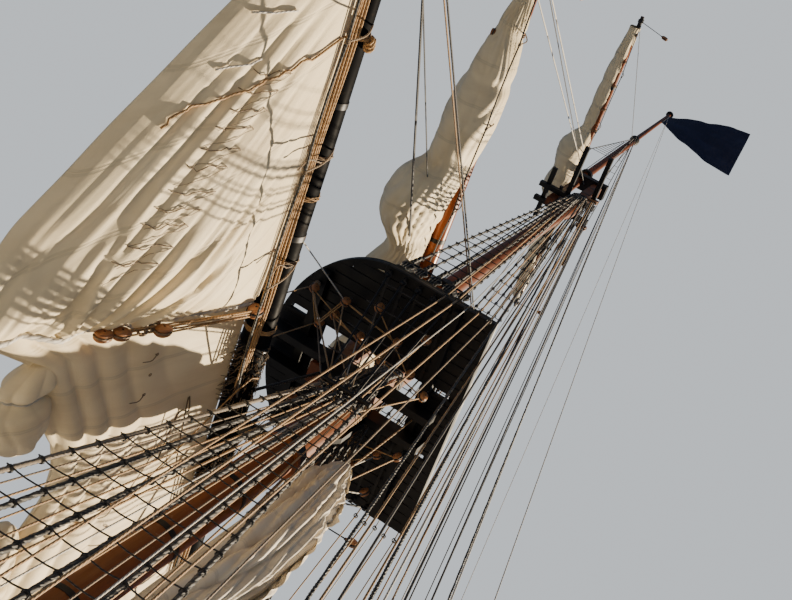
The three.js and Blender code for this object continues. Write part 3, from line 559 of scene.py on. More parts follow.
topgallantMast = {"lower": ((0, 0.85), (0.087, 0.85), (0.095, 0.96), (0.0765, 6.23), (0.076, 6.4)),
                  "pole": ((0, 6.39), (0.062, 6.4), (0.062, 6.9), (0.044, 10.33), (0, 10.33)),
                  "heel": (0.09, 0, 0.9)}


def square(p, half, low, high, frameOfMast=None, slot=0, bevel=0.0):
    # A square length of a spar, or a band round one
    p.block((-half, -half, low), (half, half, high), frameOfMast, slot, bevel)


def lowerRadius(z):
    s = lowerMast
    shrink = (s["houndsRadius"] - s["deckRadius"]) * min(z, s["hounds"]) / s["hounds"]
    return s["deckRadius"] + shrink


def makeLowerMast():
    # A round pole with iron hoops, and a square head above the hounds
    s = lowerMast
    p = Parts()
    low, high, out = s["trussSeat"]
    under = lowerRadius((low + high) / 2 - 0.003)
    profile = [(lowerRadius(z), z) for z in s["stations"]]
    profile += [(under + out, low), (under + out, high), (under, high + 0.0017),
                (s["houndsRadius"], s["hounds"]), (s["houndsRadius"], s["poleTop"])]
    p.lathe([(0, 0), *profile, (0, s["poleTop"])], s["sides"])
    w = s["hoopHalf"]
    for z in s["hoops"]:
        r = lowerRadius(z)
        p.lathe([(r - 0.01, z - w), (r + 0.007, z - w), (r + 0.009, z), (r + 0.007, z + w),
                 (r - 0.01, z + w)], s["sides"], slot=1)
    square(p, *s["head"], bevel=0.018)
    square(p, *s["tenon"], bevel=0.012)
    half, w = s["headBand"]
    for z in s["headBands"]:
        square(p, half, z - w, z + w, slot=1, bevel=0.01)
    piece = p.make("lower_mast_dressed", [m["mastVarnish"], m["iron"]])
    sharpen(piece)
    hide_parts("lower_mast")


def makeTopmast():
    s = topmast
    p = Parts()
    p.lathe(s["pole"], 40, topmastFrame)
    for low, high, half in s["squares"]:
        square(p, half, low, high, topmastFrame, bevel=0.012)
    across, near, far, low, high = s["fidCheek"]  # the heel's wood on each side of the fid
    for aft, fore in ((-far, -near), (near, far)):
        p.block((-across, aft, low), (across, fore, high), topmastFrame, bevel=0.004)
    for z in s["bands"]:
        square(p, 0.113, z - 0.025, z + 0.025, topmastFrame, 1, 0.006)
    z = s["hoop"]
    p.lathe([(0.16, z - 0.03), (0.17, z - 0.03), (0.17, z + 0.03), (0.16, z + 0.03)], 40,
            topmastFrame, slot=1)
    piece = p.make("topmast_dressed", [m["poleVarnish"], m["iron"]])
    sharpen(piece)
    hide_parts("topmast")


def makeTopgallantMast():
    s = topgallantMast
    p = Parts()
    p.lathe(s["lower"], 28, topgallantFrame)
    p.lathe(s["pole"], 28, topgallantFrame)
    square(p, *s["heel"], topgallantFrame, bevel=0.01)
    piece = p.make("topgallant_mast_dressed", [m["poleVarnish"]])
    sharpen(piece)
    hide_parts("topgallant_mast")


yards = {
    "lower": {"half": 7.4, "radius": 0.18, "origin": (0, 0.8, 12.95), "frame": shipFrame},
    "topsail": {"half": 5.4, "radius": 0.13, "origin": (0, 0.4, 3.9), "frame": topmastFrame},
    "topgallant": {"half": 3.6, "radius": 0.085, "origin": (0, 0.27, 2.5),
                   "frame": topgallantFrame},
}
taper = {"at": (0, 0.25, 0.5, 0.75, 1), "share": (1, 0.98, 0.9, 0.72, 0.44)}
jackstay = {"forward": 0.06, "eye": 0.16, "ends": 0.35, "steps": 28, "apart": 3}


def yardRadius(yard, x):
    return yard["radius"] * np.interp(abs(x) / yard["half"], taper["at"], taper["share"])


def yardMatrix(name):
    yard = yards[name]
    return yard["frame"] @ Matrix.Translation(yard["origin"])


def onYard(name, x, y=0.0, z=0.0):
    return yardMatrix(name) @ Vector((x, y, z))


def makeYard(name, paint, hoops, tip):
    yard, s = yards[name], jackstay
    half = yard["half"]
    turnToX = yardMatrix(name) @ Matrix.Rotation(math.pi / 2, 4, "Y")
    p = Parts()
    p.lathe([(0, -half), *[(yardRadius(yard, x), x) for x in np.linspace(-half, half, 33)],
             (0, half)], 40, turnToX)
    w = 0.035
    for x in hoops:
        r = yardRadius(yard, x)
        for sign in (-1, 1):
            p.lathe([(r - 0.01, sign * x - w), (r + 0.006, sign * x - w),
                     (r + 0.006, sign * x + w), (r - 0.01, sign * x + w)], 40, turnToX, slot=1)
    for sign in (-1, 1):  # the yardarm's painted tip
        a, b = sorted((sign * (half - tip), sign * (half - 0.004)))
        p.lathe([(yardRadius(yard, a) + 0.001, a), (yardRadius(yard, b) + 0.001, b)], 40,
                turnToX, slot=1)
    # jackstay: an iron rod on eyebolts along the top of the yard
    eye, y = yard["radius"] * s["eye"], s["forward"] * yard["radius"]
    xs = np.linspace(s["ends"], half - s["ends"], s["steps"])
    for sign in (-1, 1):
        rod = [onYard(name, sign * x, y, yardRadius(yard, x) + eye * 1.1) for x in xs]
        p.tube(rod, eye * 0.42, 6, slot=1)
        for x in sign * xs[::s["apart"]]:
            r = yardRadius(yard, x)
            p.tube([onYard(name, x, y, r * 0.9), onYard(name, x, y, r + eye * 1.4)], eye * 0.3, 5,
                   slot=1)
    piece = p.make(f"{name}_yard_dressed", [m[paint], m["iron"]], f"{name}_yard")
    sharpen(piece)
    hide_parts(f"{name}_yard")


makeLowerMast()
makeTopmast()
makeTopgallantMast()
makeYard("lower", "blackYard", (1.1, 2.6, 4.2, 5.8, 6.9), 0.5)
makeYard("topsail", "sparVarnish", (0.8, 2.4, 4.0, 5.0), 0.45)
makeYard("topgallant", "sparVarnish", (0.6, 2.0, 3.2), 0.35)
print("spars made")

# The top and its carriers

topPlan = {"halfWidth": 1.75, "aft": -1.2, "straightTo": 0.25, "fore": 1.66,
           "bottom": 15.1103, "plank": 0.06, "rimTop": 15.2323, "rim": 0.095, "board": 0.152,
           "gap": 0.004, "hole": (0.46, -0.6, 0.96), "coaming": 0.05, "battens": (-1.05, -0.75, 1.2),
           "edgeSteps": 48}
futtocks = {"count": 5, "firstY": 0.33, "step": -0.225}


def topEdge(y):
    # Half the top's width at a place forward
    t = topPlan
    if y <= t["straightTo"]:
        return t["halfWidth"]
    share = min(1.0, (y - t["straightTo"]) / (t["fore"] - t["straightTo"]))
    return t["halfWidth"] * math.sqrt(1 - share ** 2)


def topOutline(margin):
    t = topPlan
    half, fore = t["halfWidth"] - margin, t["fore"] - margin
    out = [(-half, t["aft"] + margin), (half, t["aft"] + margin)]
    for k in range(t["edgeSteps"] + 1):
        angle = math.pi * k / t["edgeSteps"]
        out.append((half * math.cos(angle),
                    t["straightTo"] + (fore - t["straightTo"]) * math.sin(angle)))
    return out


def makeTop():
    # Planks fore and aft with gaps, a raised rim, and battens across the deck
    t = topPlan
    p = Parts()
    z0, z1 = t["bottom"], t["bottom"] + t["plank"]
    holeX, holeAft, holeFore = t["hole"]
    x = -t["halfWidth"]
    while x < t["halfWidth"] - 0.01:
        a, b = x + t["gap"], min(x + t["board"], t["halfWidth"]) - t["gap"]
        reach = max(abs(a), abs(b))
        fits = [y for y in np.linspace(t["straightTo"], t["fore"], 60)
                if topEdge(y) >= reach - 0.012]
        fore = fits[-1] if fits else t["straightTo"]
        runs = [(t["aft"], fore)]
        if b > -holeX + 0.01 and a < holeX - 0.01:
            a, b = max(a, -holeX), min(b, holeX)
            runs = [(t["aft"], holeAft), (holeFore, fore)]
        for y0, y1 in runs:
            if y1 - y0 > 0.03:
                p.block((a, y0 + 0.003, z0), (b, y1 - 0.003, z1), bevel=0.006)
        x += t["board"]
    # the rim's section runs round the outline, with a rounded iron band outside
    outer, inner = topOutline(0.0), topOutline(t["rim"])
    rows = []
    for (ox, oy), (ix, iy) in zip(outer, inner):
        rows.append([(ox, oy, z0 + 0.004), (ox, oy, t["rimTop"] - 0.008),
                     (ox * 0.995, oy - 0.004, t["rimTop"]), (ix, iy, t["rimTop"]),
                     (ix, iy, z0 + 0.004)])
    rows.append(rows[0])
    p.grid(np.array(rows, float), closed=True)
    band = []
    for ox, oy in [*outer, outer[0]]:
        band.append([(ox, oy, z0 + 0.012), (ox * 1.002, oy + 0.0005, z0 + 0.03),
                     (ox * 1.002, oy + 0.0005, z0 + 0.05), (ox, oy, z0 + 0.068)])
    p.grid(np.array(band, float), slot=1)
    for y in t["battens"]:
        half = topEdge(y) - 0.12
        p.block((-half, y - 0.045, z1), (half, y + 0.045, z1 + 0.035), bevel=0.008)
    c = t["coaming"]
    for a, b in (((-holeX - c, holeAft - c), (holeX + c, holeAft)),
                 ((-holeX - c, holeFore), (holeX + c, holeFore + c)),
                 ((-holeX - c, holeAft), (-holeX, holeFore)),
                 ((holeX, holeAft), (holeX + c, holeFore))):
        p.block((*a, z1), (*b, z1 + 0.045), bevel=0.006)
    for near, far in ((-1.72, -0.5), (0.5, 1.72)):  # iron straps out to the futtock plates
        for i in range(futtocks["count"]):
            y = futtocks["firstY"] + futtocks["step"] * i
            p.block((near, y - 0.02, z0 - 0.006), (far, y + 0.02, z0), slot=1, bevel=0.002)
    piece = p.make("top_planked", [m["blackPaint"], m["iron"]])
    sharpen(piece)
    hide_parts("top_platform")


def dressNode(name, finish, bevel):
    # A CAD node keeps its form and gets its finish, with softened edges
    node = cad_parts[name]
    node.data.materials.clear()
    node.data.materials.append(m[finish])
    if bevel:
        edges = node.modifiers.new("softEdges", "BEVEL")
        edges.width = bevel
        edges.segments = 2
        edges.limit_method = "ANGLE"
        edges.angle_limit = sharpAngle


makeTop()
plainNodes = {
    "crosstree_fore": ("blackPaint", 0.01), "crosstree_aft": ("blackPaint", 0.01),
    "lower_cap": ("blackPaint", 0.014), "topmast_cap": ("blackPaint", 0.01),
    "topmast_crosstrees": ("blackPaint", 0.008), "topmast_fid": ("iron", 0.006),
    "topgallant_fid": ("iron", 0.005), "truck": ("blackPaint", 0), "mast_coat": ("coatCanvas", 0),
    "lower_yard_truss": ("iron", 0.008), "topsail_parrel": ("iron", 0.004),
    "topsail_truss": ("iron", 0.006), "topgallant_parrel": ("iron", 0.003),
    "topgallant_truss": ("iron", 0.004),
}
pairedNodes = {"mast_cheek": ("blackPaint", 0.012), "trestletree": ("blackPaint", 0.012),
               "channel": ("blackPaint", 0.008), "futtock_shrouds": ("iron", 0)}
for name, finish in plainNodes.items():
    dressNode(name, *finish)
for name, finish in pairedNodes.items():
    for side in sides:
        dressNode(f"{name}_{side}", *finish)
print("top made")

# Standing rigging

shroudPlan = {
    "lower": {"frame": shipFrame, "masthead": 0.17, "fine": 0.85, "ring": 7,
              "count": 6, "radius": 0.025, "footX": 4.13, "firstY": 0.067, "step": -0.637,
              "footZ": 1.0003, "headX": 0.208, "headY": 0.08, "headStep": -0.052,
              "bolster": (0.31, 15.08), "collarZ": {"port": 15.475, "starboard": 15.555}},
    "topmast": {"frame": topmastFrame, "masthead": 0.11, "fine": 0.55, "ring": 5,
                "count": 5, "radius": 0.018, "footX": 1.655, "firstY": 0.33, "step": -0.225,
                "footZ": 15.2326, "headX": 0.135, "headY": 0.08, "headStep": -0.04,
                "bolster": (0.236, 10.3003), "collarZ": {"port": 10.43, "starboard": 10.5}},
}
deadeyes = {
    "lower": {"radius": 0.13, "thick": 0.1, "low": 0.19, "high": 0.72, "pole": 0.92},
    "backstay": {"radius": 0.105, "thick": 0.095, "low": 0.19, "high": 0.72, "pole": 0.92},
    "topmast": {"radius": 0.085, "thick": 0.075, "low": 0.15, "high": 0.48, "pole": 0.62},
}


def shroudPoints(gang, side, i):
    # Foot, bend over the bolster, and head of one shroud
    g, sign = shroudPlan[gang], sides[side]
    foot = Vector((sign * g["footX"], g["firstY"] + i * g["step"], g["footZ"]))
    y = g["headY"] + i * g["headStep"]
    bolsterX, bolsterZ = g["bolster"]
    return (foot, g["frame"] @ Vector((sign * bolsterX, y, bolsterZ)),
            g["frame"] @ Vector((sign * g["headX"], y, g["collarZ"][side])))


def deadeyePair(p, foot, up, size):
    # Two deadeyes, the lanyard rove between them, and their straps
    up = Vector(up).normalized()
    face = Vector((0, 1, 0)).cross(up).normalized()
    r, thick = size["radius"], size["thick"]
    for height in (size["low"], size["high"]):
        at = frameAt(foot + up * height, face, up)
        h = thick / 2
        p.lathe([(0, -h), (r * 0.72, -h), (r * 0.93, -h * 0.62), (r * 0.97, -h * 0.3),
                 (r * 0.9, 0), (r * 0.97, h * 0.3), (r * 0.93, h * 0.62), (r * 0.72, h), (0, h)],
                20, at, slot=1)
    # the lanyard's six parts between the holes, and turns round the upper strop
    for k in (-1, 0, 1):
        hole = (0.30 if k else 0.42) * r
        for part in (-1, 1):
            a, b = foot + up * (size["low"] + hole), foot + up * (size["high"] - hole)
            shift = Vector((0, k * r * 0.5, 0))
            push = face * (part * thick * 0.52)
            p.tube([a + shift + push * 0.4, a + shift * 0.98 + push, b + shift * 0.98 + push,
                    b + shift + push * 0.4], r * 0.085, 5)
    p.turnsRound(throatOf(foot, up, size), up, r * 0.36, r * 0.09, 4)
    # iron strap from the lower deadeye down into the channel
    low = foot + up * size["low"]
    for sign in (-1, 1):
        y = Vector((0, sign * r * 0.99, 0))
        p.tube([foot + Vector((0, sign * 0.03, 0.0)), foot + up * size["low"] * 0.35 + y * 0.6,
                low + y, low + y * 0.75 + up * r * 0.7, low + up * r * 1.0], r * 0.085, 5, slot=2)
    # the way of the shroud's end round the upper deadeye
    top, bend = foot + up * size["high"], r * 0.98
    angles = [math.pi * k / 12 for k in range(13)]
    return [top + Vector((0, math.cos(a) * bend, 0)) - up * math.sin(a) * bend for a in angles]


def throatOf(foot, up, size):
    # Where a shroud's two parts meet above its upper deadeye
    return foot + up * (size["high"] + size["radius"] * 1.35)


def seizeTail(p, throat, up, radius, size):
    # The rope's end laid up along its own part, in three seizings
    tail = throat + Vector((0, radius * 1.9, 0))
    p.rope([tail, tail + up * size["radius"] * 5], radius * 0.9, fine=0.8)
    for k in (0.4, 2.2, 4.2):
        p.turnsRound(throat + Vector((0, radius * 0.95, 0)) + up * size["radius"] * k, up,
                     radius * 2.05, 0.006, 5, squash=0.62)


def collarRing(matrix, reach, corner, z):
    # An eye laid round a square masthead, its corners rounded off
    ring = []
    for k in range(25):
        angle = 2 * math.pi * k / 24
        x, y = math.cos(angle), math.sin(angle)
        out = min(reach / max(abs(x), abs(y)), corner)
        ring.append(matrix @ Vector((x * out, y * out, z)))
    return ring


def makeShroudGang(side, gang):
    g, size = shroudPlan[gang], deadeyes[gang]
    p = Parts()
    poleEnds = []
    radius = g["radius"]
    for i in range(g["count"]):
        foot, bend, head = shroudPoints(gang, side, i)
        up = (bend - foot).normalized()
        arc = deadeyePair(p, foot, up, size)
        throat = throatOf(foot, up, size)
        served = 3 if i == 0 and gang == "lower" else 0  # the foremost, served against chafe
        p.rope([throat, throat + (bend - throat) * 0.5, bend - (bend - throat) * 0.004], radius,
               served, g["fine"], g["ring"])
        p.tube([throat + (arc[0] - throat) * 0.02, *arc, throat], radius * 0.82, 6)
        # over the bolster and in to the collar
        p.tube(curveThrough([bend - up * 0.12, bend, bend + (head - bend) * 0.5, head], 0.03),
               radius, 8)
        seizeTail(p, throat, up, radius, size)
        poleEnds.append(foot + up * size["pole"])
    out = Vector((0, size["radius"] * 0.9, 0))
    p.tube([poleEnds[0] + out, poleEnds[-1] - out], size["radius"] * 0.17, 8, slot=2)
    # the eyes stacked round the masthead, and their seizings at the side
    matrix, half = g["frame"], g["masthead"]
    z, eye = g["collarZ"][side], g["radius"] * 0.95
    p.tube(collarRing(matrix, half + eye * 1.05, (half + eye) * 1.32, z), eye, 8)
    along = 0.2 * half / 0.17
    for dz in (-1.2, 1.2):
        p.tube([matrix @ Vector((sides[side] * (half + eye), y, z + dz * eye * 0.6))
                for y in (-along, 0, along)], eye * 0.7, 7)
    piece = p.make(f"{gang}_shrouds_{side}_laid",
                   [m["tarred"], m["blackPaint"], m["iron"], m["served"]])
    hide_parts(f"{gang}_shrouds_{side}")


for side in sides:
    for gang in ("lower", "topmast"):
        makeShroudGang(side, gang)
print("shrouds made", triangles["made"])

backstayPlan = {"footX": 4.13, "footZ": 1.0003,
                "feet": {"topmast": (-3.9, -4.4), "topgallant": (-4.9,)},
                "radius": {"topmast": 0.016, "topgallant": 0.009},
                "collarZ": {"port": 10.54, "starboard": 10.61}}
poleRings = {"bottom": 6.4003, "step": 0.066, "middle": 0.03, "inner": 0.0623, "outer": 0.092,
             "grow": 0.012, "bite": 0.009, "shroudLevel": {"port": 0, "starboard": 1},
             "backstayLevel": {"port": 2, "starboard": 3}}
topgallantFeet = {"x": 1.19, "z": 10.2616, "ys": (-0.33, 0.199), "radius": 0.01}


def poleRing(p, level):
    # A served eye round the pole, and where its ropes leave it
    r = poleRings
    z = r["bottom"] + r["step"] * level + r["middle"]
    outer = r["outer"] + r["grow"] * level
    middle, half = (r["inner"] + outer) / 2, (outer - r["inner"]) / 2
    ring = [inTopgallant(middle * math.cos(a), middle * math.sin(a), z)
            for a in np.linspace(0, 2 * math.pi, 25)]
    p.tube(ring, half, 8)
    return outer - r["bite"], z


def backstayGang(p, side, feet, radius, heads):
    # heads holds the places that each rope passes at the masthead
    size = deadeyes["backstay"]
    poles = []
    for y, head in zip(feet, heads):
        foot = Vector((sides[side] * backstayPlan["footX"], y, backstayPlan["footZ"]))
        up = (head[0] - foot).normalized()
        arc = deadeyePair(p, foot, up, size)
        throat = throatOf(foot, up, size)
        p.rope([throat, (throat + head[0]) / 2, head[0]], radius, fine=0.55)
        if len(head) > 1:
            p.tube(curveThrough([head[0] - up * 0.1, *head], 0.03), radius, 8)
        p.tube([*arc, throat], radius * 0.82, 6)
        seizeTail(p, throat, up, radius, size)
        poles.append(foot + up * size["pole"])
    out = Vector((0, 0.09, 0))
    p.tube([poles[0] + out, poles[-1] - out], 0.02, 8, slot=2)


def makeBackstays(side):
    sign, plan = sides[side], backstayPlan
    rope = [m["tarred"], m["blackPaint"], m["iron"]]
    bolsterX, bolsterZ = shroudPlan["topmast"]["bolster"]
    z = plan["collarZ"][side] + 0.03
    heads = [(inTopmast(sign * bolsterX, -0.125 - 0.04 * i, bolsterZ),
              inTopmast(sign * 0.15, -0.11 - 0.038 * i, z))
             for i in range(len(plan["feet"]["topmast"]))]
    p = Parts()
    p.tube(collarRing(topmastFrame, 0.135, 0.17, z), 0.024, 8)
    backstayGang(p, side, plan["feet"]["topmast"], plan["radius"]["topmast"], heads)
    piece = p.make(f"topmast_backstays_{side}_laid", rope)
    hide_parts(f"topmast_backstays_{side}")
    p = Parts()
    ropeX, ropeZ = poleRing(p, poleRings["backstayLevel"][side])
    head = inTopgallant(sign * ropeX, -0.02, ropeZ)
    backstayGang(p, side, plan["feet"]["topgallant"], plan["radius"]["topgallant"], [(head,)])
    piece = p.make(f"topgallant_backstay_{side}_laid", rope)
    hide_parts(f"topgallant_backstay_{side}")


def topgallantShroud(side, i):
    r, feet, sign = poleRings, topgallantFeet, sides[side]
    level = r["shroudLevel"][side]
    head = inTopgallant(sign * (r["outer"] + r["grow"] * level - r["bite"]), 0.01 - 0.01 * i,
                        r["bottom"] + r["step"] * level + r["middle"])
    return inTopmast(sign * feet["x"], feet["ys"][i], feet["z"]), head


def makeTopgallantShrouds(side):
    p = Parts()
    poleRing(p, poleRings["shroudLevel"][side])
    for i in range(len(topgallantFeet["ys"])):
        foot, head = topgallantShroud(side, i)
        up = (head - foot).normalized()
        p.rope([foot + up * 0.22, head], topgallantFeet["radius"], fine=0.6)
        # a little lanyard of several turns through the thimble, with its hitches
        for k in (-1, 0, 1):
            off = Vector((0, 0.009 * k, 0))
            p.tube([foot + off, foot + up * 0.2 + off], 0.0045, 5)
        p.turnsRound(foot + up * 0.24, up, 0.016, 0.005, 5)
        p.turnsRound(foot + up * 0.08, up, 0.02, 0.005, 4)
        p.block((-0.028, -0.022, 0), (0.028, 0.022, 0.05),
                Matrix.Translation(foot) @ topmastFrame.to_3x3().to_4x4(), slot=1, bevel=0.005)
    piece = p.make(f"topgallant_shrouds_{side}_laid", [m["tarred"], m["iron"]])
    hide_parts(f"topgallant_shrouds_{side}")


for side in sides:
    makeBackstays(side)
    makeTopgallantShrouds(side)
print("backstays made", triangles["made"])

# Sails


def ripple(u, v, seed, count=7, reach=2.5):
    # Seeded unevenness, smooth over the cloth, mostly between -1 and 1
    draw = random.Random(seed)
    total = 0
    for _ in range(count):
        a, b = draw.uniform(-reach, reach), draw.uniform(-reach, reach)
        total = total + np.sin(2 * math.pi * (a * u + b * v + draw.random()))
    return total * math.sqrt(2 / count) * 0.6


def pleats(x, sharp=0.8):
    # Round crests with narrow valleys between them, from 0 to 1
    return np.abs(np.cos(math.pi * x)) ** sharp


def raised(points, height):
    # A sheet's points moved along its own normals
    normal = unit(np.cross(np.gradient(points, axis=0), np.gradient(points, axis=1)))
    return points + normal * height[..., None]


def clothPlace(points):
    # Metres along the rows and down the columns of a sheet, for its UV map
    across = np.linalg.norm(np.diff(points, axis=1), axis=2).mean(0)
    down = np.linalg.norm(np.diff(points, axis=0), axis=2).mean(1)
    u = np.concatenate([[0], np.cumsum(across)])
    v = np.concatenate([[0], np.cumsum(down)])
    return np.stack(np.broadcast_arrays(u[None, :], v[:, None]), 2)


courseSlope = {"head": (0.8, 12.86), "lean": 0.165}  # the head's place forward and height


def onSlope(x, z, aft):
    # A point of the hanging course, which leans forward as it goes down
    s = courseSlope
    return np.stack([x, s["head"][0] + s["lean"] * (s["head"][1] - z) - aft, z], -1)


course = {"flat": (14.1, 5.8), "leechTop": (1.74, 12.7), "leechEnd": (2.15, 8.95),
          "bow": (1.2, 1.05), "yardIn": 1.85, "yardOut": 7.05, "yardZ": 12.79,
          "folds": 16, "rows": 215, "columns": 165, "under": 0.6, "round": 0.07,
          "swell": 0.3, "roll": 0.38, "depth": 0.2, "clothSlant": 0.5,
          "broadFolds": 7, "broadHeight": 0.085, "shown": 0.97,
          "creases": (((0.56, 0.02), (0.50, 0.75)), ((0.60, 0.0), (0.62, 0.62)),
                      ((0.68, 0.02), (0.80, 0.55)), ((0.47, 0.03), (0.36, 0.7))),
          "ridge": (0.045, 0.009), "hollow": (0.05, 0.012, 0.022)}
courseMiddle = {"half": 2.25, "head": 12.76, "rows": 100, "columns": 150, "turnUp": 0.8, "shown": 0.78,
                "up": 0.5, "folds": 7, "foldHeight": 0.07, "lumpHeight": 0.035, "seamFrom": 12.8,
                "lowX": (0, 0.4, 0.9, 1.6, 1.9, 2.25),
                "lowZ": (10.5, 10.45, 10.2, 9.9, 9.4, 9.2)}
courseFace = {}


def eased(t):
    t = np.clip(t, 0, 1)
    return t * t * (3 - 2 * t)


def bellyLine(v, u):
    # Along one fold: from the leech, up at a slant to the yard
    c = course
    inX = c["leechTop"][0] + (c["leechEnd"][0] - c["leechTop"][0]) * v
    inZ = c["leechTop"][1] + (c["leechEnd"][1] - c["leechTop"][1]) * v
    outX = c["yardIn"] + (c["yardOut"] - c["yardIn"]) * v
    midX, midZ = inX + c["bow"][0] * v, inZ + c["bow"][1] * v
    x = (1 - u) ** 2 * inX + 2 * u * (1 - u) * midX + u * u * outX
    z = (1 - u) ** 2 * inZ + 2 * u * (1 - u) * midZ + u * u * c["yardZ"]
    return x, z


def creaseHeight(v, u, start, end):
    # A sharp ridge with a hollow beside it, dying away at its far end
    dv, du = end[0] - start[0], end[1] - start[1]
    along = ((v - start[0]) * dv + (u - start[1]) * du) / (dv * dv + du * du)
    off = v - (start[0] + dv * np.clip(along, 0, 1))
    fade = np.clip(1 - along, 0, 1) * (along > -0.1)
    high, narrow = course["ridge"]
    deep, wide, beside = course["hollow"]
    return fade * (high * np.exp(-(off / narrow) ** 2)
                   - deep * np.exp(-((off - beside) / wide) ** 2))


def bellyPoints(sign, v, u, seed):
    # The hanging bight: out from the yard, round its lower edge and up again inside
    c = course
    turn, start = c["round"], 1 + c["round"] - math.hypot(1, c["round"])
    share = (1 + turn - np.sqrt((v - 1) ** 2 + turn ** 2) - start) / (1 - start)
    x, z = bellyLine(np.maximum(share, 0), u)
    fullness = eased(u / 0.3) * 0.75 + 0.25
    forward = ((c["roll"] * eased((v - 0.5) / 0.5) + c["depth"] * eased((v - 0.9) / 0.22))
               * fullness * (1 - 0.9 * u ** 2.5))
    swell = c["swell"] * np.sin(math.pi * np.clip(v, 0, 1) ** 1.1) * np.sin(math.pi * u ** 0.75)
    points = onSlope(sign * x, z, swell - forward)
    low = eased((c["yardZ"] - z) / 1.5)
    middle = eased((v - 0.10) / 0.3) * (1 - eased((v - 0.76) / 0.16))
    bend = 0.5 * ripple(u * 0.5, v, seed, 5, 1.2)
    fold = pleats(c["folds"] * v + bend, 0.7) - 0.6
    uneven = 0.75 + 0.45 * ripple(u * 0.8, v * 2.2, seed + 9, 6, 2.0)
    fine = pleats(c["folds"] * 2.6 * v + 2 * ripple(u * 0.4, v, seed + 5, 5, 1.0), 1.0) - 0.5
    slack = 0.35 * ripple(u, v, seed + 7, 4, 1.0) + 0.9 * u
    broad = pleats(c["broadFolds"] * v + slack, 0.7) - 0.6
    byLeech = eased((v - 0.5) / 0.2) * (1 - eased(u / 0.5)) * (v < 1.05)
    ends = 1 - eased((u - 0.9) / 0.1) * 0.8
    height = (ends * low * ((0.012 + 0.042 * middle) * fold * uneven
                            + (0.004 + 0.006 * middle) * fine)
              + c["broadHeight"] * byLeech * broad + 0.003 * ripple(u * 2, v * 2, seed + 3, 8, 3))
    for begin, end in c["creases"]:
        height = height + creaseHeight(v, u, begin, end)
    return raised(points, height * sign)


def makeCourse():
    # The course hauled up in its gear: a bight at each side and the middle under the yard
    c = course
    p = Parts()
    ropes = Parts()
    for side, sign in sides.items():
        v, u = np.meshgrid(np.linspace(0.015, 1 + c["under"], c["rows"]),
                           np.linspace(0, 1, c["columns"]), indexing="ij")
        points = bellyPoints(sign, v, u, 20 + sign)
        across = np.abs(points[..., 0]) + c["clothSlant"] * (c["yardZ"] - points[..., 2])
        down = clothPlace(points)[..., 1]
        p.grid(points, uv=np.stack([across, down], 2), flip=sign < 0)
        face = points[v[:, 0] < c["shown"]]
        courseFace[side] = face
        ropes.rope(face[:, 0][::5] + np.array((0, -0.02, 0)), 0.034, fine=0.8)
    makeCourseMiddle(p)
    for sign in sides.values():
        makeBunch(p, ropes, sign)
    piece = p.make("course", [m["canvas"]], "lower_yard")
    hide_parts("course_sail")
    bolt = ropes.make("course_bolt_rope", [m["paleRope"]], "lower_yard")


def makeCourseMiddle(p):
    # Between the bights, its lower edge turned up forward
    c = courseMiddle
    v, u = np.meshgrid(np.linspace(0, 1, c["rows"]), np.linspace(-1, 1, c["columns"]),
                       indexing="ij")
    x = u * c["half"]
    low = np.interp(np.abs(x), c["lowX"], c["lowZ"])
    edge = c["turnUp"]
    z = (c["head"] + (low - c["head"]) * np.minimum(v / edge, 1)
         + c["up"] * np.clip((v - edge) / 0.2, 0, 1))
    forward = 0.10 + 0.2 * eased((v - 0.7) / 0.2)
    points = onSlope(x, z, -forward)
    folds = pleats(c["folds"] * v ** 2 + 0.35 * ripple(u * 1.2, v, 31, 5, 1.0), 0.8) - 0.6
    lumps = ripple(u * 0.8, v * 0.5, 32, 5, 1.2)
    height = eased(v / 0.75) * c["foldHeight"] * folds + c["lumpHeight"] * eased(v / 0.2) * lumps
    points = raised(points, height)
    courseFace["middle"] = points[: int(c["rows"] * c["shown"])]
    p.grid(points, uv=np.stack([x, c["seamFrom"] - z], 2))


bunch = {"middle": (1.05, 9.85), "forward": 0.16, "half": (0.56, 0.24, 0.38), "folds": 11,
         "waist": -0.35, "waistWidth": 0.12, "waistDepth": 0.42, "end": 0.985, "rows": 46,
         "columns": 84}


def makeBunch(p, ropes, sign):
    # A part of the foot gathered at one side of the middle, with a line round its waist
    b = bunch
    x0, z0 = b["middle"]
    centre = onSlope(np.array(sign * x0), np.array(z0), -b["forward"])
    t, a = np.meshgrid(np.linspace(-b["end"], b["end"], b["rows"]),
                       np.linspace(0, 2 * math.pi, b["columns"], endpoint=False), indexing="ij")
    pinch = b["waistDepth"] * np.exp(-((t - b["waist"]) / b["waistWidth"]) ** 2)
    belly = np.sqrt(1 - t ** 2) * (1 - pinch)
    folds = (1 + 0.16 * (pleats(b["folds"] * a / (2 * math.pi) * 0.5 + 0.3 * np.sin(3 * t)) - 0.6)
             + 0.05 * np.sin(5 * a + 7 * t))
    x = t * b["half"][0]
    y = np.cos(a) * belly * folds * b["half"][1]
    z = np.sin(a) * belly * folds * b["half"][2] + 0.18 * t * t
    points = centre + np.stack([-sign * x, y, z], -1)
    p.grid(points, closed=True, caps=True, flip=sign > 0)
    waist = points[int((b["waist"] + b["end"]) / (2 * b["end"]) * (b["rows"] - 1))]
    ring = np.vstack([waist, waist[:1]])
    for shift in (-0.012, 0.012):
        ropes.tube((ring - centre) * 1.04 + centre + np.array((shift, 0, 0)), 0.011, 6)


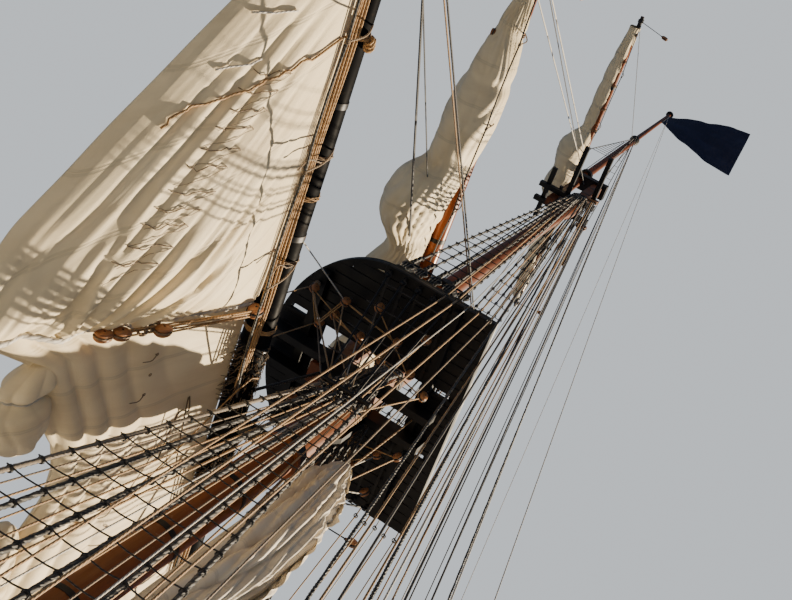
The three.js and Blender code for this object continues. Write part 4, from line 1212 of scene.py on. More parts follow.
# Stations of the furled sails: x, centre y and z, half depth y, half height z
topsailBundle = [
    (0, 0.33, -0.5, 0.2, 0.5), (0.4, 0.34, -0.72, 0.22, 0.72), (0.68, 0.26, -0.42, 0.17, 0.4),
    (0.95, 0.29, -0.45, 0.19, 0.44), (1.25, 0.34, -0.56, 0.28, 0.52), (1.6, 0.34, -0.6, 0.31, 0.56),
    (1.95, 0.25, -0.52, 0.3, 0.48), (2.2, 0.14, -0.34, 0.22, 0.36), (2.45, 0.12, -0.33, 0.24, 0.42),
    (2.9, 0.1, -0.32, 0.285, 0.41), (3.5, 0.09, -0.23, 0.25, 0.31),
    (4.1, 0.1, -0.15, 0.165, 0.23), (4.7, 0.065, -0.075, 0.085, 0.13),
    (5.0, 0.045, -0.035, 0.055, 0.085)]
topgallantBundle = [
    (0, 0.19, -0.1, 0.17, 0.26), (0.3, 0.2, -0.13, 0.21, 0.32), (0.6, 0.2, -0.11, 0.21, 0.3),
    (0.85, 0.13, 0.02, 0.13, 0.16), (1.0, 0.1, 0.05, 0.095, 0.11), (1.3, 0.105, 0.05, 0.11, 0.125),
    (1.8, 0.105, 0.05, 0.115, 0.13), (2.7, 0.085, 0.04, 0.095, 0.11),
    (3.35, 0.06, 0.025, 0.07, 0.085)]
furled = {
    "topsail": {"stations": topsailBundle, "flat": (9.9, 6.4), "turns": 2.3, "rows": 210,
                "columns": 250, "wrinkle": 0.05, "gaskets": (3.55, 4.25, 4.85),
                "pinch": 0.04, "seed": 41},
    "topgallant": {"stations": topgallantBundle, "flat": (6.7, 3.4), "turns": 3.4, "rows": 130,
                   "columns": 210, "wrinkle": 0.02, "gaskets": (1.0, 1.5, 2.05, 2.6, 3.2),
                   "pinch": 0.06, "seed": 57},
}
bundleCloth = {"innerShrink": 0.62, "creases": 5.5, "smallCreases": 17, "bunt": (0.28, 0.12)}
gasket = {"radius": 0.008, "apart": 0.024, "steps": 40, "clear": 0.012, "grip": 0.09}


def smoothStations(f):
    # The stations' values eased between them, as cloth is
    s = np.array(f["stations"])
    xs = np.linspace(0, s[-1, 0], 60)
    rows = [xs]
    for k in range(1, 5):
        value = np.interp(xs, s[:, 0], s[:, k])
        padded = np.pad(value, 1, mode="edge")
        rows.append(np.convolve(padded, np.ones(3) / 3, mode="valid"))
    f["stations"] = np.stack(rows, 1)


def convexRound(points, margin):
    # The shortest line round some points of a plane, pushed out by a margin
    points = sorted(map(tuple, points))
    chains = []
    for run in (points, points[::-1]):
        chain = []
        for q in run:
            while len(chain) > 1:
                (ax, ay), (bx, by) = chain[-2], chain[-1]
                if (bx - ax) * (q[1] - ay) - (by - ay) * (q[0] - ax) > 0:
                    break
                chain.pop()
            chain.append(q)
        chains.append(chain[:-1])
    ring = np.array(chains[0] + chains[1])
    middle = ring.mean(0)
    away = ring - middle
    return ring + away / np.linalg.norm(away, axis=1)[:, None] * margin


def furledPoints(name, x, angle):
    # A point of the furled cloth by its place along the yard and its turn round the bundle
    f, c, s = furled[name], bundleCloth, furled[name]["stations"]
    cy, cz, ry, rz = (np.interp(np.abs(x), s[:, 0], s[:, k]) for k in range(1, 5))
    turn = (angle - math.pi / 2) / (2 * math.pi)
    shrink = 1 - c["innerShrink"] * turn / f["turns"]
    u, v = x / 4.5, turn
    width = f["wrinkle"]
    # creases run along the yard, sag between the gaskets and slant towards them
    slant = 1.0 * ripple(u, v, f["seed"], 6, 1.1)
    crease = pleats(c["creases"] * turn + slant) - 0.45
    small = pleats(c["smallCreases"] * turn + 3.2 * ripple(u, v, f["seed"] + 2, 6, 2.2), 1.1) - 0.5
    lumps = ripple(u * 1.5, v, f["seed"] + 4, 8, 2)
    tight = sum(np.exp(-((np.abs(x) - g) / gasket["grip"]) ** 2) for g in f["gaskets"])
    buntEnd, buntFade = c["bunt"]
    bunt = 1 - eased((np.abs(x) / s[-1, 0] - buntEnd) / buntFade)
    knobs = 0.8 * ripple(u * 3, v * 1.6, f["seed"] + 6, 8, 3) + pleats(
        8 * v + 2.2 * ripple(u * 2, v, f["seed"] + 7, 6, 2), 0.9) - 0.5
    push = (width * crease + 0.65 * width * small + 0.7 * width * lumps
            + 0.75 * width * bunt * knobs) * (1 - 0.6 * tight)
    size = shrink * (1 - f["pinch"] * tight)
    y = cy + (ry * size + push * 0.8) * np.cos(angle) * 0.98
    z = cz + (rz * size + push) * np.sin(angle) * 0.98 + rz * f["pinch"] * tight * 0.4
    return x, 2 * cy - y, z


def makeFurled(name):
    f = furled[name]
    smoothStations(f)
    reach = f["stations"][-1, 0]
    start = math.pi / 2
    angle, x = np.meshgrid(np.linspace(start, start + 2 * math.pi * f["turns"], f["columns"]),
                           np.linspace(-reach, reach, f["rows"]), indexing="ij")
    # the cloth goes down the after side first
    x, y, z = furledPoints(name, x, 2 * math.pi - angle)
    points = moved(np.stack([x, y, z], -1), yardMatrix(name))
    p = Parts()
    p.grid(points, uv=clothPlace(points))
    piece = p.make(f"{name}_furled", [m["canvas"]], f"{name}_yard")
    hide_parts(f"{name}_sail")
    # gaskets of two turns each, round the sail and the yard together
    ties = Parts()
    t = np.linspace(0, 2 * math.pi, gasket["steps"], endpoint=False)
    for g in f["gaskets"]:
        for sign in (-1, 1):
            for half in (-0.5, 0.5):
                at = sign * g + half * gasket["apart"]
                r = yardRadius(yards[name], at)
                _, sy, sz = furledPoints(name, np.full(len(t), at), t + math.pi / 2)
                around = [(r * math.cos(a), r * math.sin(a)) for a in t]
                ring = convexRound([*zip(sy, sz), *around], gasket["clear"])
                ring = np.vstack([ring, ring[:1]])
                ties.rope([onYard(name, at, *q) for q in ring], gasket["radius"], fine=0.5)
    cords = ties.make(f"{name}_gaskets", [m["manila"]], f"{name}_yard")


brailed = {"flat": (3.6, 8.6), "turns": 1.75, "rows": 170, "columns": 240, "seed": 71,
           "folds": 9, "smallFolds": 23, "innerShrink": 0.42, "lashingZ": 5.115,
           "headRope": ((0, -0.7, 13.3), (0, -0.71, 14.1), (0, -0.72, 15.0)),
           "stations": [  # z, centre y, half width x, half depth y
               (5.0, -0.37, 0.09, 0.10), (6.2, -0.43, 0.15, 0.13), (8.0, -0.57, 0.21, 0.22),
               (9.6, -0.71, 0.28, 0.32), (11.0, -0.80, 0.33, 0.39), (12.0, -0.78, 0.33, 0.36),
               (12.6, -0.72, 0.31, 0.31), (13.0, -0.68, 0.21, 0.22), (13.25, -0.66, 0.12, 0.14),
               (13.4, -0.66, 0.05, 0.06)]}


def makeBrailed():
    # The fore-and-aft sail gathered in to the mast, in deep upright folds
    b = brailed
    s = np.array(b["stations"])
    z, angle = np.meshgrid(np.linspace(s[0, 0], s[-1, 0], b["rows"]),
                           np.linspace(0, 2 * math.pi * b["turns"], b["columns"]), indexing="ij")
    cy, rx, ry = (np.interp(z, s[:, 0], s[:, k]) for k in (1, 2, 3))
    turn = angle / (2 * math.pi)
    high = (z - s[0, 0]) / (s[-1, 0] - s[0, 0])
    shrink = 1 - b["innerShrink"] * turn / b["turns"]
    deep = np.minimum(rx, ry)
    fold = pleats(b["folds"] * turn + 1.1 * ripple(high * 1.2, turn, b["seed"], 6, 1.3)) - 0.5
    small = pleats(b["smallFolds"] * turn + 4 * ripple(high, turn, b["seed"] + 1, 6, 1.6), 1.1) - 0.5
    crumple = ripple(high * 6, turn * 2, b["seed"] + 2, 10, 3) * np.clip((high - 0.72) / 0.15, 0, 1)
    knots = ripple(high * 22, turn * 4, b["seed"] + 3, 12, 3) * np.clip((high - 0.8) / 0.08, 0, 1)
    push = deep * (0.36 * fold + 0.15 * small + 0.10 * crumple + 0.09 * knots)
    x = (rx * shrink + push) * np.sin(angle) * 0.97
    y = cy - (ry * shrink + push) * np.cos(angle) * 0.97
    points = np.stack([x, y, z], -1)
    p = Parts()
    p.grid(points, uv=clothPlace(points)[..., ::-1])
    piece = p.make("brailed_sail_hung", [m["canvasAged"]])
    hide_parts("brailed_sail")
    ropes = Parts()
    ropes.rope(b["headRope"], 0.012)
    for k in range(3):
        ropes.turnsRound((0, 0, b["lashingZ"] + 0.03 * k), (0, 0, 1), lowerRadius(5.1) + 0.012,
                         0.01, 1.2)
    ropes.turnsRound((0, -0.37, 5.13), (0, 0, 1), 0.115, 0.012, 4)
    lashing = ropes.make("brailed_sail_lashing", [m["manila"]])


flag = {"flat": (2.26, 1.1), "length": 2.2, "rows": 110, "columns": 44, "hoist": (-0.05, 9.7),
        "half": 0.45, "grow": 0.15, "droop": 0.38, "aside": -0.1, "twist": 0.95,
        "waves": (0.055, 2.1, 0.22), "smallWaves": (0.02, 5.2, -0.5)}


def makeFlag():
    # Flying aft from the pole, it twists over and droops towards its free end
    f = flag
    t, w = np.meshgrid(np.linspace(0, 1, f["rows"]), np.linspace(-1, 1, f["columns"]),
                       indexing="ij")
    twist = f["twist"] * math.pi / 2 * t
    half = f["half"] + f["grow"] * t
    high, along, across = f["waves"]
    wave = high * t ** 0.6 * np.sin(2 * math.pi * (along * t + across * w))
    high, along, across = f["smallWaves"]
    wave = wave + high * np.sin(2 * math.pi * (along * t + across * w + 0.3)) * t
    y0, z0 = f["hoist"]
    x = f["aside"] * t * t - np.sin(twist) * half * w + wave * np.cos(twist)
    y = y0 - f["length"] * t
    z = z0 - f["droop"] * t * t + np.cos(twist) * half * w + wave * np.sin(twist)
    points = moved(np.stack([x, y, z], -1), topgallantFrame)
    p = Parts()
    p.grid(points, uv=clothPlace(points))
    piece = p.make("flag_flying", [m["bunting"]])
    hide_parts("flag")
    edge = points[0]  # its hoist, with a pale line along it
    lines = Parts()
    lines.rope([edge[0], edge[len(edge) // 2], edge[-1]], 0.012)
    halyard = lines.make("flag_halyard", [m["paleRope"]])


makeCourse()
makeFurled("topsail")
makeFurled("topgallant")
makeBrailed()
makeFlag()
print("sails made", triangles["made"])

# Lines: ratlines, footropes, gear of the sails, blocks and gaskets

lineFinish = [m["manila"], m["tarredLine"], m["blockWood"], m["iron"], m["paleRope"],
              m["oldManila"]]
tan, tar, wooden, metal, pale, old = range(6)
ratlines = {"apart": 0.36, "radius": 0.0075, "sag": 0.022, "uneven": 0.012,
            "gangs": (("lower", 2.35, 14.3, 0.03), ("topmast", 16.25, 24.0, 0.02)),
            "futtockZ": (13.95, 14.3, 14.65, 14.95), "futtockSlope": ((13.6, 15.1), (0.75, 1.68)),
            "topgallantShares": (0.08, 0.86, 0.058)}


def thin(p, path, radius, slot, step=0.3, ring=5):
    # A small line, its lay left to the material
    p.tube(curveThrough(path, step), radius, ring, slot)


def alongShroud(gang, side, i, z):
    foot, bend, _ = shroudPoints(gang, side, i)
    share = (z - foot.z) / (bend.z - foot.z)
    return foot + (bend - foot) * share


def makeRatlines(side):
    s, sign = ratlines, sides[side]
    draw = random.Random(11 + sign)
    p = Parts()
    ends = np.array([0, 0.035, 0])
    for gang, low, high, out in s["gangs"]:
        g, outward = shroudPlan[gang], Vector((sign * out, 0, 0))
        for z in np.arange(low, high, s["apart"]):
            stops = [alongShroud(gang, side, i, z + draw.uniform(-s["uneven"], s["uneven"]))
                     + outward for i in range(g["count"])]
            path = []
            for a, b in zip(stops, stops[1:]):
                drop = s["sag"] * draw.uniform(0.5, 1.6) * (a - b).length / 0.4
                path += list(sagged(a, b, drop, 4))[:-1]
            path.append(np.array(tuple(stops[-1])))
            p.tube([path[0] + ends, *path, path[-1] - ends], s["radius"], 5, tar)
            for i, at in enumerate(stops):
                foot, bend, _ = shroudPoints(gang, side, i)
                p.turnsRound(at - outward, bend - foot, g["radius"] + 0.007, 0.007, 1.6, tar, 4)
    # short ones across the futtock shrouds and the topgallant shrouds
    last = futtocks["count"] - 1
    for z in s["futtockZ"]:
        x = sign * np.interp(z, *s["futtockSlope"])
        path = [(x, futtocks["firstY"] + futtocks["step"] * i + shift, z - (0.012 if shift else 0))
                for i in range(last + 1) for shift in ((0, -0.112) if i < last else (0,))]
        p.tube(path, s["radius"], 5, tar)
    for share in np.arange(*s["topgallantShares"]):
        rungs = [foot + (head - foot) * share for foot, head in
                 (topgallantShroud(side, 0), topgallantShroud(side, 1))]
        p.tube(sagged(*rungs, 0.01, 4), 0.0055, 4, tar)
    p.make(f"ratlines_{side}", lineFinish)


blockForm = {"wide": 0.36, "thick": 0.27, "tall": 0.5, "strop": 0.055, "points": 18,
             "cheek": ((0.22, 0.8), (0.24, 0.97), (0.6, 1.0), (0.88, 0.86), (1.0, 0.55))}


def rounded(x):
    # A circle's sine or cosine made a little squarer
    return math.copysign(abs(x) ** 0.8, x)


def addBlock(p, at, up, across, long, strop=tar, tail=0.0):
    # A wooden block: two cheeks, a sheave between them, and a strop in the groove
    s = blockForm
    matrix = frameAt(at, up, across)
    wide, thick, tall = long * s["wide"], long * s["thick"], long * s["tall"]
    angle = np.linspace(0, 2 * math.pi, s["points"], endpoint=False)
    for sign in (-1, 1):
        rows = [[(rounded(math.cos(a)) * wide * size, sign * y * thick,
                  rounded(math.sin(a)) * tall * size) for a in angle] for y, size in s["cheek"]]
        p.grid(moved(np.array(rows), matrix), closed=True, caps=True, slot=wooden,
               flip=sign > 0)
    sheave = matrix @ Matrix.Rotation(math.pi / 2, 4, "X")
    p.lathe([(0, -thick * 0.2), (long * 0.3, -thick * 0.2), (long * 0.26, 0),
             (long * 0.3, thick * 0.2), (0, thick * 0.2)], 14, sheave, slot=metal)
    p.lathe([(0, -thick * 1.04), (long * 0.07, -thick * 1.04), (long * 0.07, thick * 1.04),
             (0, thick * 1.04)], 8, sheave, slot=metal)
    loop = [(wide * 1.06 * math.sin(a), 0, -tall * 1.04 * math.cos(a))
            for a in np.linspace(0, math.pi * 0.93, 9)]
    peak = (0, 0, tall * 1.04 + long * 0.22)
    other = [(-x, y, z) for x, y, z in loop[::-1]]
    rope = long * s["strop"]
    p.tube([matrix @ Vector(q) for q in [peak, *other, *loop[1:], peak]], rope, 5, strop)
    p.turnsRound(matrix @ Vector((0, 0, tall * 1.15)), Vector(up), rope * 1.9, rope * 0.5,
                 3, strop, 4)
    if tail:
        p.tube([matrix @ Vector(peak), matrix @ Vector((0, 0, peak[2] + tail))], rope * 1.1, 5,
               strop)
    return matrix @ Vector((0, 0, -tall * 0.4))


def crossLine(name, a, b, bodies, radius, slot, shares=(0, 1)):
    # A straight line from body to body, one piece for each joint on its way
    a, b = np.array(tuple(a), float), np.array(tuple(b), float)
    for k in range(len(bodies) - 1):
        p = Parts()
        start, end = a + (b - a) * shares[k], a + (b - a) * shares[k + 1]
        p.tube(np.linspace(start, end, 21), radius, 5, slot)
        piece = p.make(f"{name}_{k + 1}", lineFinish, body=None)
        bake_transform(piece)


def makeFootropes(name, drop, aft, radius, stirrups):
    # The ropes that hang under a yard, with their stirrups
    yard = yards[name]
    p = Parts()
    for sign in (-1, 1):
        ends = [sign * (yard["half"] - 0.18), *[sign * x for x in stirrups[::-1]], sign * 0.45]
        hang = [onYard(name, ends[0], -yardRadius(yard, ends[0]), 0)]
        hang += [onYard(name, x, -aft, -drop) for x in ends[1:-1]]
        hang.append(onYard(name, ends[-1], -yard["radius"] * 0.5, -yard["radius"]))
        path = []
        for a, b in zip(hang, hang[1:]):
            path += list(sagged(a, b, 0.035 * (a - b).length, 6))[:-1]
        path.append(np.array(tuple(hang[-1])))
        p.tube(path, radius, 6, tar)
        for x, low in zip(ends[1:-1], hang[1:-1]):
            r = yardRadius(yard, x)
            top = onYard(name, x, -r * 0.5, r * 0.9)
            p.tube(curveThrough([top, onYard(name, x, -r * 1.08, 0),
                                 onYard(name, x, -aft * 0.9, -drop * 0.5), low], 0.1),
                   radius * 0.75, 5, old)
            p.turnsRound(low, (1, 0, 0), radius * 1.5, radius * 0.4, 4, old, 4)
    p.make(f"{name}_footropes", lineFinish, f"{name}_yard")


def makeRobands(name, apart, wire, reach):
    # Short lashings of the sail's head to the jackstay, along the top of the yard
    yard = yards[name]
    p = Parts()
    for sign in (-1, 1):
        for x in np.arange(0.42, reach, apart):
            r = yardRadius(yard, x)
            p.turnsRound(onYard(name, sign * x, 0.06 * yard["radius"], r + yard["radius"] * 0.17),
                         (1, 0, 0.2), yard["radius"] * 0.17 + wire, wire, 2.2, old, 4)
            a = np.linspace(math.radians(80), math.radians(-55), 8)
            p.tube([onYard(name, sign * x, (r + 0.007) * math.cos(t), (r + 0.007) * math.sin(t))
                    for t in a], wire, 4, old)
    p.make(f"{name}_robands", lineFinish, f"{name}_yard")


def thrumMat(p, name, x0, x1, count, seed):
    # A thrum mat round the yard: short rope ends standing out all over it
    draw = random.Random(seed)
    yard = yards[name]
    for _ in range(count):
        x, a = draw.uniform(x0, x1), draw.uniform(0, 2 * math.pi)
        r = yardRadius(yard, x)
        reach = draw.uniform(0.05, 0.13) if math.cos(a) > -0.3 else draw.uniform(0.02, 0.045)
        lean, droop = draw.uniform(-0.07, 0.07), draw.uniform(0.0, 0.06)
        base = onYard(name, x, r * math.cos(a), r * math.sin(a))
        mid = onYard(name, x + lean * 0.5, (r + reach * 0.6) * math.cos(a),
                     (r + reach * 0.6) * math.sin(a) - droop * 0.3)
        tip = onYard(name, x + lean, (r + reach) * math.cos(a),
                     (r + reach) * math.sin(a) - droop)
        p.tube([base, mid, tip], (0.008, 0.006, 0.0035), 3, old)


def onCloth(side, x, z, lift):
    # The place on the course that lies nearest to a given breadth and height
    face = courseFace[side]
    off = (np.abs(face[..., 0]) - abs(x)) ** 2 + (face[..., 2] - z) ** 2
    row, col = np.unravel_index(np.argmin(off), off.shape)
    return face[row, col] + np.array((0, -lift, -lift * 0.3))


def layOn(p, side, places, radius, slot, wave=0.0, seed=0, step=0.1):
    # A line that lies on the course through a few places, wavering as slack rope does
    flat = curveThrough([(x, 0, z) for x, z in places], step)
    draw = random.Random(seed)
    path = []
    for k, (x, _, z) in enumerate(flat):
        shift = wave * math.sin(1.7 * k + draw.uniform(-0.5, 0.5))
        path.append(onCloth(side, x + shift * 0.5, z + shift, radius + 0.006))
    p.tube(path, radius, 6, slot)
    return path


courseGear = {"clew": (1.8, 11.05), "blockAt": ((1.89, 10.42), (1.67, 10.62), (1.77, 11.06)),
              "quarter": (1.72, -0.07, -0.38), "reefRow": ((4.6, 12.02), (2.75, 10.75)),
              "reefCount": 11, "reefBand": 11.42, "matX": 0.7, "matHalf": 0.42,
              "longGasket": ((4.93, 12.7), (4.7, 12.1), (4.35, 11.3), (4.22, 10.95),
                             (4.02, 10.72)),
              "shortRope": ((5.2, 11.95), (5.15, 11.5)), "whiteTail": ((4.73, 11.66), (4.6, 11.2)),
              "ledAlong": ((-0.11, -0.17), (-0.10, -0.215), (-0.09, -0.26), (-0.085, -0.31)),
              "ledFrom": 6.95, "ledTo": 0.95, "lashings": (1.35, 3.1, 4.95, 6.3),
              "knot": (4.95, -0.19, -0.02), "tails": (2.3, 3.6, 5.6, 6.5), "matEnds": 520,
              "curl": ((0.62, 12.5, 0.03), (0.5, 12.3, 0.09), (0.52, 12.15, 0.05),
                       (0.35, 12.2, 0.08), (0.4, 12.0, 0.1), (0.3, 11.95, 0.05)),
              "reefPoints": (13, -1.62, 0.27)}


def makeCourseGear():
    g = courseGear
    p = Parts()
    draw = random.Random(5)
    for side, sign in sides.items():
        # clew blocks, and the ropes from them up to the quarter block
        quarter = onYard("lower", *onSide(sign, g["quarter"]))
        addBlock(p, quarter, (0, 0.1, 1), (0, 1, 0), 0.22, tar, 0.1)
        clew = Vector(onCloth(side, *g["clew"], 0.06))
        for k, (x, z) in enumerate(g["blockAt"]):
            at = Vector(onCloth(side, x, z, 0.07)) + Vector((0, -0.05 * k, 0))
            up = (quarter - at).normalized()
            low = addBlock(p, at, up, (0, 1, 0), 0.2, old)
            for shift in (-0.035, 0.035) if k else (0,):
                thin(p, [low + Vector((shift, 0, 0)), quarter + Vector((shift, -0.02, -0.05))],
                     0.011, tan)
        for k in range(3):
            p.turnsRound(clew + Vector((0, 0, -0.1 * k)), (0.3, 0.2, 1), 0.045, 0.012, 2.5, old)
        # reef tails in their row, each a short wavering end with its thread
        (x0, z0), (x1, z1) = g["reefRow"]
        for k in range(g["reefCount"]):
            t = k / (g["reefCount"] - 1)
            x, z = x0 + (x1 - x0) * t + draw.uniform(-0.03, 0.03), z0 + (z1 - z0) * t
            layOn(p, side, [(x, z), (x + 0.01, z - 0.17), (x - 0.03, z - 0.32),
                            (x + 0.02, z - 0.42)], 0.0055, old, 0.012, k, 0.04)
            layOn(p, side, [(x, z), (x - 0.08, z - 0.2), (x - 0.2, z - 0.52)], 0.0028, old,
                  0.0, k)
        layOn(p, side, g["longGasket"], 0.0125, tan, 0.02, 3, 0.07)
        layOn(p, side, g["shortRope"], 0.012, pale, 0.004, 4)
        layOn(p, side, g["whiteTail"], 0.011, pale, 0.012, 6, 0.06)
        # ropes led along under the yard, and their lashings
        for k, (y, z) in enumerate(g["ledAlong"]):
            path = []
            for x in np.linspace(g["ledFrom"], g["ledTo"] - 0.1 * k, 22):
                share = yardRadius(yards["lower"], x) / yards["lower"]["radius"]
                sway = 0.012 * math.sin(2.3 * x + k)
                path.append(onYard("lower", sign * x, y * share + sway,
                                   z * share - 0.012 * abs(math.sin(1.9 * x))))
            thin(p, path, 0.0135 - 0.001 * k, tan, 0.2, 6)
        for x in g["lashings"]:
            r = yardRadius(yards["lower"], x)
            p.turnsRound(onYard("lower", sign * x, 0, 0), (1, 0, 0), r + 0.012, 0.010, 3, tan)
        knot = onYard("lower", *onSide(sign, g["knot"]))
        for turn in range(3):
            p.turnsRound(knot + Vector((0.03 * turn, 0, 0)), (0.6, 0.5 * turn - 0.5, 0.8),
                         0.05, 0.014, 1.6, tan)
        thin(p, [knot, onCloth(side, *g["longGasket"][0], 0.012)], 0.014, tan, 0.05)
        # gaskets and tails that hang from the yard
        for x in g["tails"]:
            r = yardRadius(yards["lower"], x)
            p.turnsRound(onYard("lower", sign * x, 0, 0), (1, 0, 0), r + 0.012, 0.010, 2, old)
            length = draw.uniform(0.5, 0.9)
            thin(p, [onYard("lower", sign * x, -r - 0.01, 0),
                     onYard("lower", sign * x, -r - 0.02, -0.2),
                     onYard("lower", sign * (x + 0.06), -r + 0.02, -length * 0.6),
                     onYard("lower", sign * (x + 0.02), -r - 0.03, -length)], 0.009, old, 0.07)
        # buntlines down over the cloth, a slack tail that curls, and the mat round the yard
        thin(p, [onYard("lower", sign * 0.7, -0.19, 0.0), onYard("lower", sign * 0.68, -0.16, -0.3),
                 onCloth("middle", 0.75, 11.6, 0.012), onCloth("middle", 0.9, 10.6, 0.012)],
             0.009, tan, 0.2)
        thin(p, [onCloth("middle", *place) for place in g["curl"]], 0.009, old, 0.04)
        thrumMat(p, "lower", sign * g["matX"] - g["matHalf"], sign * g["matX"] + g["matHalf"],
                 g["matEnds"], 8 + sign)
    # points across the middle in their row, every second one with a tail
    count, first, apart = g["reefPoints"]
    for k in range(count):
        x = first + apart * k
        at = onCloth("middle", x, g["reefBand"], 0.004)
        at[0] = x
        p.turnsRound(at, (0, 1, 0.16), 0.018, 0.005, 1.1, old, 4)
        if k % 2:
            tail = [at, at + np.array((0.02, -0.03, -0.12)), at + np.array((-0.01, -0.02, -0.26))]
            thin(p, tail, 0.006, old, 0.05)
    p.make("course_gear", lineFinish, "lower_yard")


upperGear = {"stops": ((4.75, 0.14, -0.1), (4.2, 0.26, -0.28), (3.25, 0.30, -0.50),
                       (2.2, 0.30, -0.72)), "blockSize": 0.15,
             "braceBlocks": (("lower", 0.26, 7.2), ("topsail", 0.23, 5.25),
                             ("topgallant", 0.13, 3.5)), "pendant": (0.1, -0.62, -0.1)}


def makeUpperGear():
    # Blocks along the furled topsail with the line led through them, and brace blocks
    g = upperGear
    p = Parts()
    for sign in (-1, 1):
        stops = [onYard("topsail", *onSide(sign, place)) for place in g["stops"]]
        thin(p, stops, 0.009, tar, 0.2)
        for at in stops[1:]:
            addBlock(p, at + Vector((0, 0.0, -0.02)), (0.2, 0.3, 1), (1, 0, 0), g["blockSize"])
    p.make("topsail_gear", lineFinish, "topsail_yard")
    dx, y, z = g["pendant"]
    for name, size, x in g["braceBlocks"]:
        p = Parts()
        for sign in (-1, 1):
            tip = onYard(name, sign * x, 0, 0)
            r = yardRadius(yards[name], x)
            p.turnsRound(tip, (1, 0, 0), r + 0.012, 0.012, 3, tar)
            aft = onYard(name, sign * (x - dx), y, z)
            direction = (tip - aft).normalized()
            addBlock(p, aft, direction, (0, 0, 1), size)
            thin(p, [aft + direction * size * 0.6, tip], 0.012 * size / 0.2, tar)
        p.make(f"{name}_brace_blocks", lineFinish, f"{name}_yard")


crossing = {"cap": (0.24, -0.15, 17.95), "fallForward": 0.04, "sling": (0.12, 0.46, 15.05),
            "buntlines": ((0.65, 0.94, 0.95), (1.07, 1.19, 1.6), (1.18, 0.68, 2.6)),
            "buntlineZ": 14.76, "topsailClew": (1.05, 0.12, -0.95),
            "topgallantClew": (0.5, -0.1, -0.25), "topsailShares": (0, 0.62, 0.9, 1),
            "sheetShares": (0, 0.2, 0.88, 0.94, 1)}


def makeCrossingLines():
    c, hull, low, up, high = crossing, "root", "lower_yard", "topsail_yard", "topgallant_yard"
    for side, sign in sides.items():
        # lower lifts from the cap to the yardarm, the slings at the middle, the buntlines
        cap = onSide(sign, c["cap"])
        crossLine(f"lower_lift_{side}", cap, onYard("lower", sign * 7.1, 0, 0.1),
                  (hull, low), 0.013, tar)
        crossLine(f"lower_lift_fall_{side}", cap + Vector((0, c["fallForward"], 0)),
                  onYard("lower", sign * 7.02, 0, 0.1), (hull, low), 0.011, tan)
        crossLine(f"lower_sling_{side}", onSide(sign, c["sling"]),
                  onYard("lower", sign * 0.3, 0.0, yards["lower"]["radius"]), (hull, low), 0.022,
                  tar)
        for k, (topX, topY, x) in enumerate(c["buntlines"]):
            crossLine(f"buntline_{side}_{k + 1}", (sign * topX, topY, c["buntlineZ"]),
                      onYard("lower", sign * x, 0.12, yardRadius(yards["lower"], x)),
                      (hull, low), 0.009, pale if k == 2 else tan)
        # upper lifts
        crossLine(f"topsail_lift_{side}", inTopmast(sign * 0.15, 0.2, 11.3),
                  onYard("topsail", sign * 5.2, 0, 0.06),
                  (hull, "topsail_parrel", up), 0.009, tar, (0, 0.75, 1))
        crossLine(f"topgallant_lift_{side}", inTopgallant(sign * 0.07, 0.03, 6.35),
                  onYard("topgallant", sign * 3.45, 0, 0.05),
                  (hull, "topgallant_parrel", high), 0.007, tar, (0, 0.78, 1))
        # topsail sheets from the lower yardarms, topgallant sheets from the topsail yardarms
        crossLine(f"topsail_sheet_{side}", onYard("lower", sign * 7.1, 0.0, 0.12),
                  onYard("topsail", *onSide(sign, c["topsailClew"])),
                  (low, hull, "topsail_parrel", up), 0.017, tar, c["topsailShares"])
        crossLine(f"topsail_clewline_{side}", onYard("lower", sign * 6.85, 0.05, 0.12),
                  onYard("topsail", sign * 1.5, 0.2, -0.5),
                  (low, hull, "topsail_parrel", up), 0.010, tar, c["topsailShares"])
        clew = onYard("topgallant", *onSide(sign, c["topgallantClew"]))
        for k, (armX, radius) in enumerate(((5.25, 0.012), (4.9, 0.011))):
            crossLine(f"topgallant_sheet_{side}_{k + 1}",
                      onYard("topsail", sign * armX, 0.02, 0.08),
                      clew + Vector((0, 0.12 * k, -0.12 * k)),
                      (up, "topsail_parrel", hull, "topgallant_parrel", high),
                      radius, pale, c["sheetShares"])
    # ties of the two hoisting yards
    for k in (-1, 1):
        crossLine(f"topsail_tie_{k + 2}", inTopmast(0.05 * k, 0.24, 9.9),
                  inTopmast(0.05 * k, 0.24, 4.16), (hull, "topsail_parrel"), 0.012, tar)
    crossLine("topgallant_tie_1", inTopgallant(0, 0.13, 6.1), inTopgallant(0, 0.13, 2.66),
              (hull, "topgallant_parrel"), 0.009, tar)


pins = {"z": 1.95, "inward": 0.09, "count": 11, "turns": 3,
        "form": ((0, -0.19), (0.009, -0.19), (0.012, -0.04), (0.013, 0.04), (0.02, 0.055),
                 (0.021, 0.1), (0.014, 0.165), (0, 0.175))}


def makePinRail(p, a, b, count):
    # A rail lashed inside the shrouds, with its belaying pins
    a, b = Vector(a), Vector(b)
    along = (b - a).normalized()
    p.block((-0.04, -0.035, 0), (0.04, 0.035, (b - a).length), frameAt(a, along, (0, 0, 1)),
            slot=wooden, bevel=0.01)
    places = []
    for k in range(count):
        at = a + (b - a) * ((k + 0.5) / count)
        p.lathe(pins["form"], 8, Matrix.Translation(at), slot=wooden)
        for turn in range(pins["turns"]):
            p.turnsRound(at + Vector((0, 0, -0.09 + 0.022 * turn)), (0.12, 0.1, 1), 0.03, 0.0095,
                         1.3, tan, 4)
        places.append(at + Vector((0, 0, -0.05)))
    return places


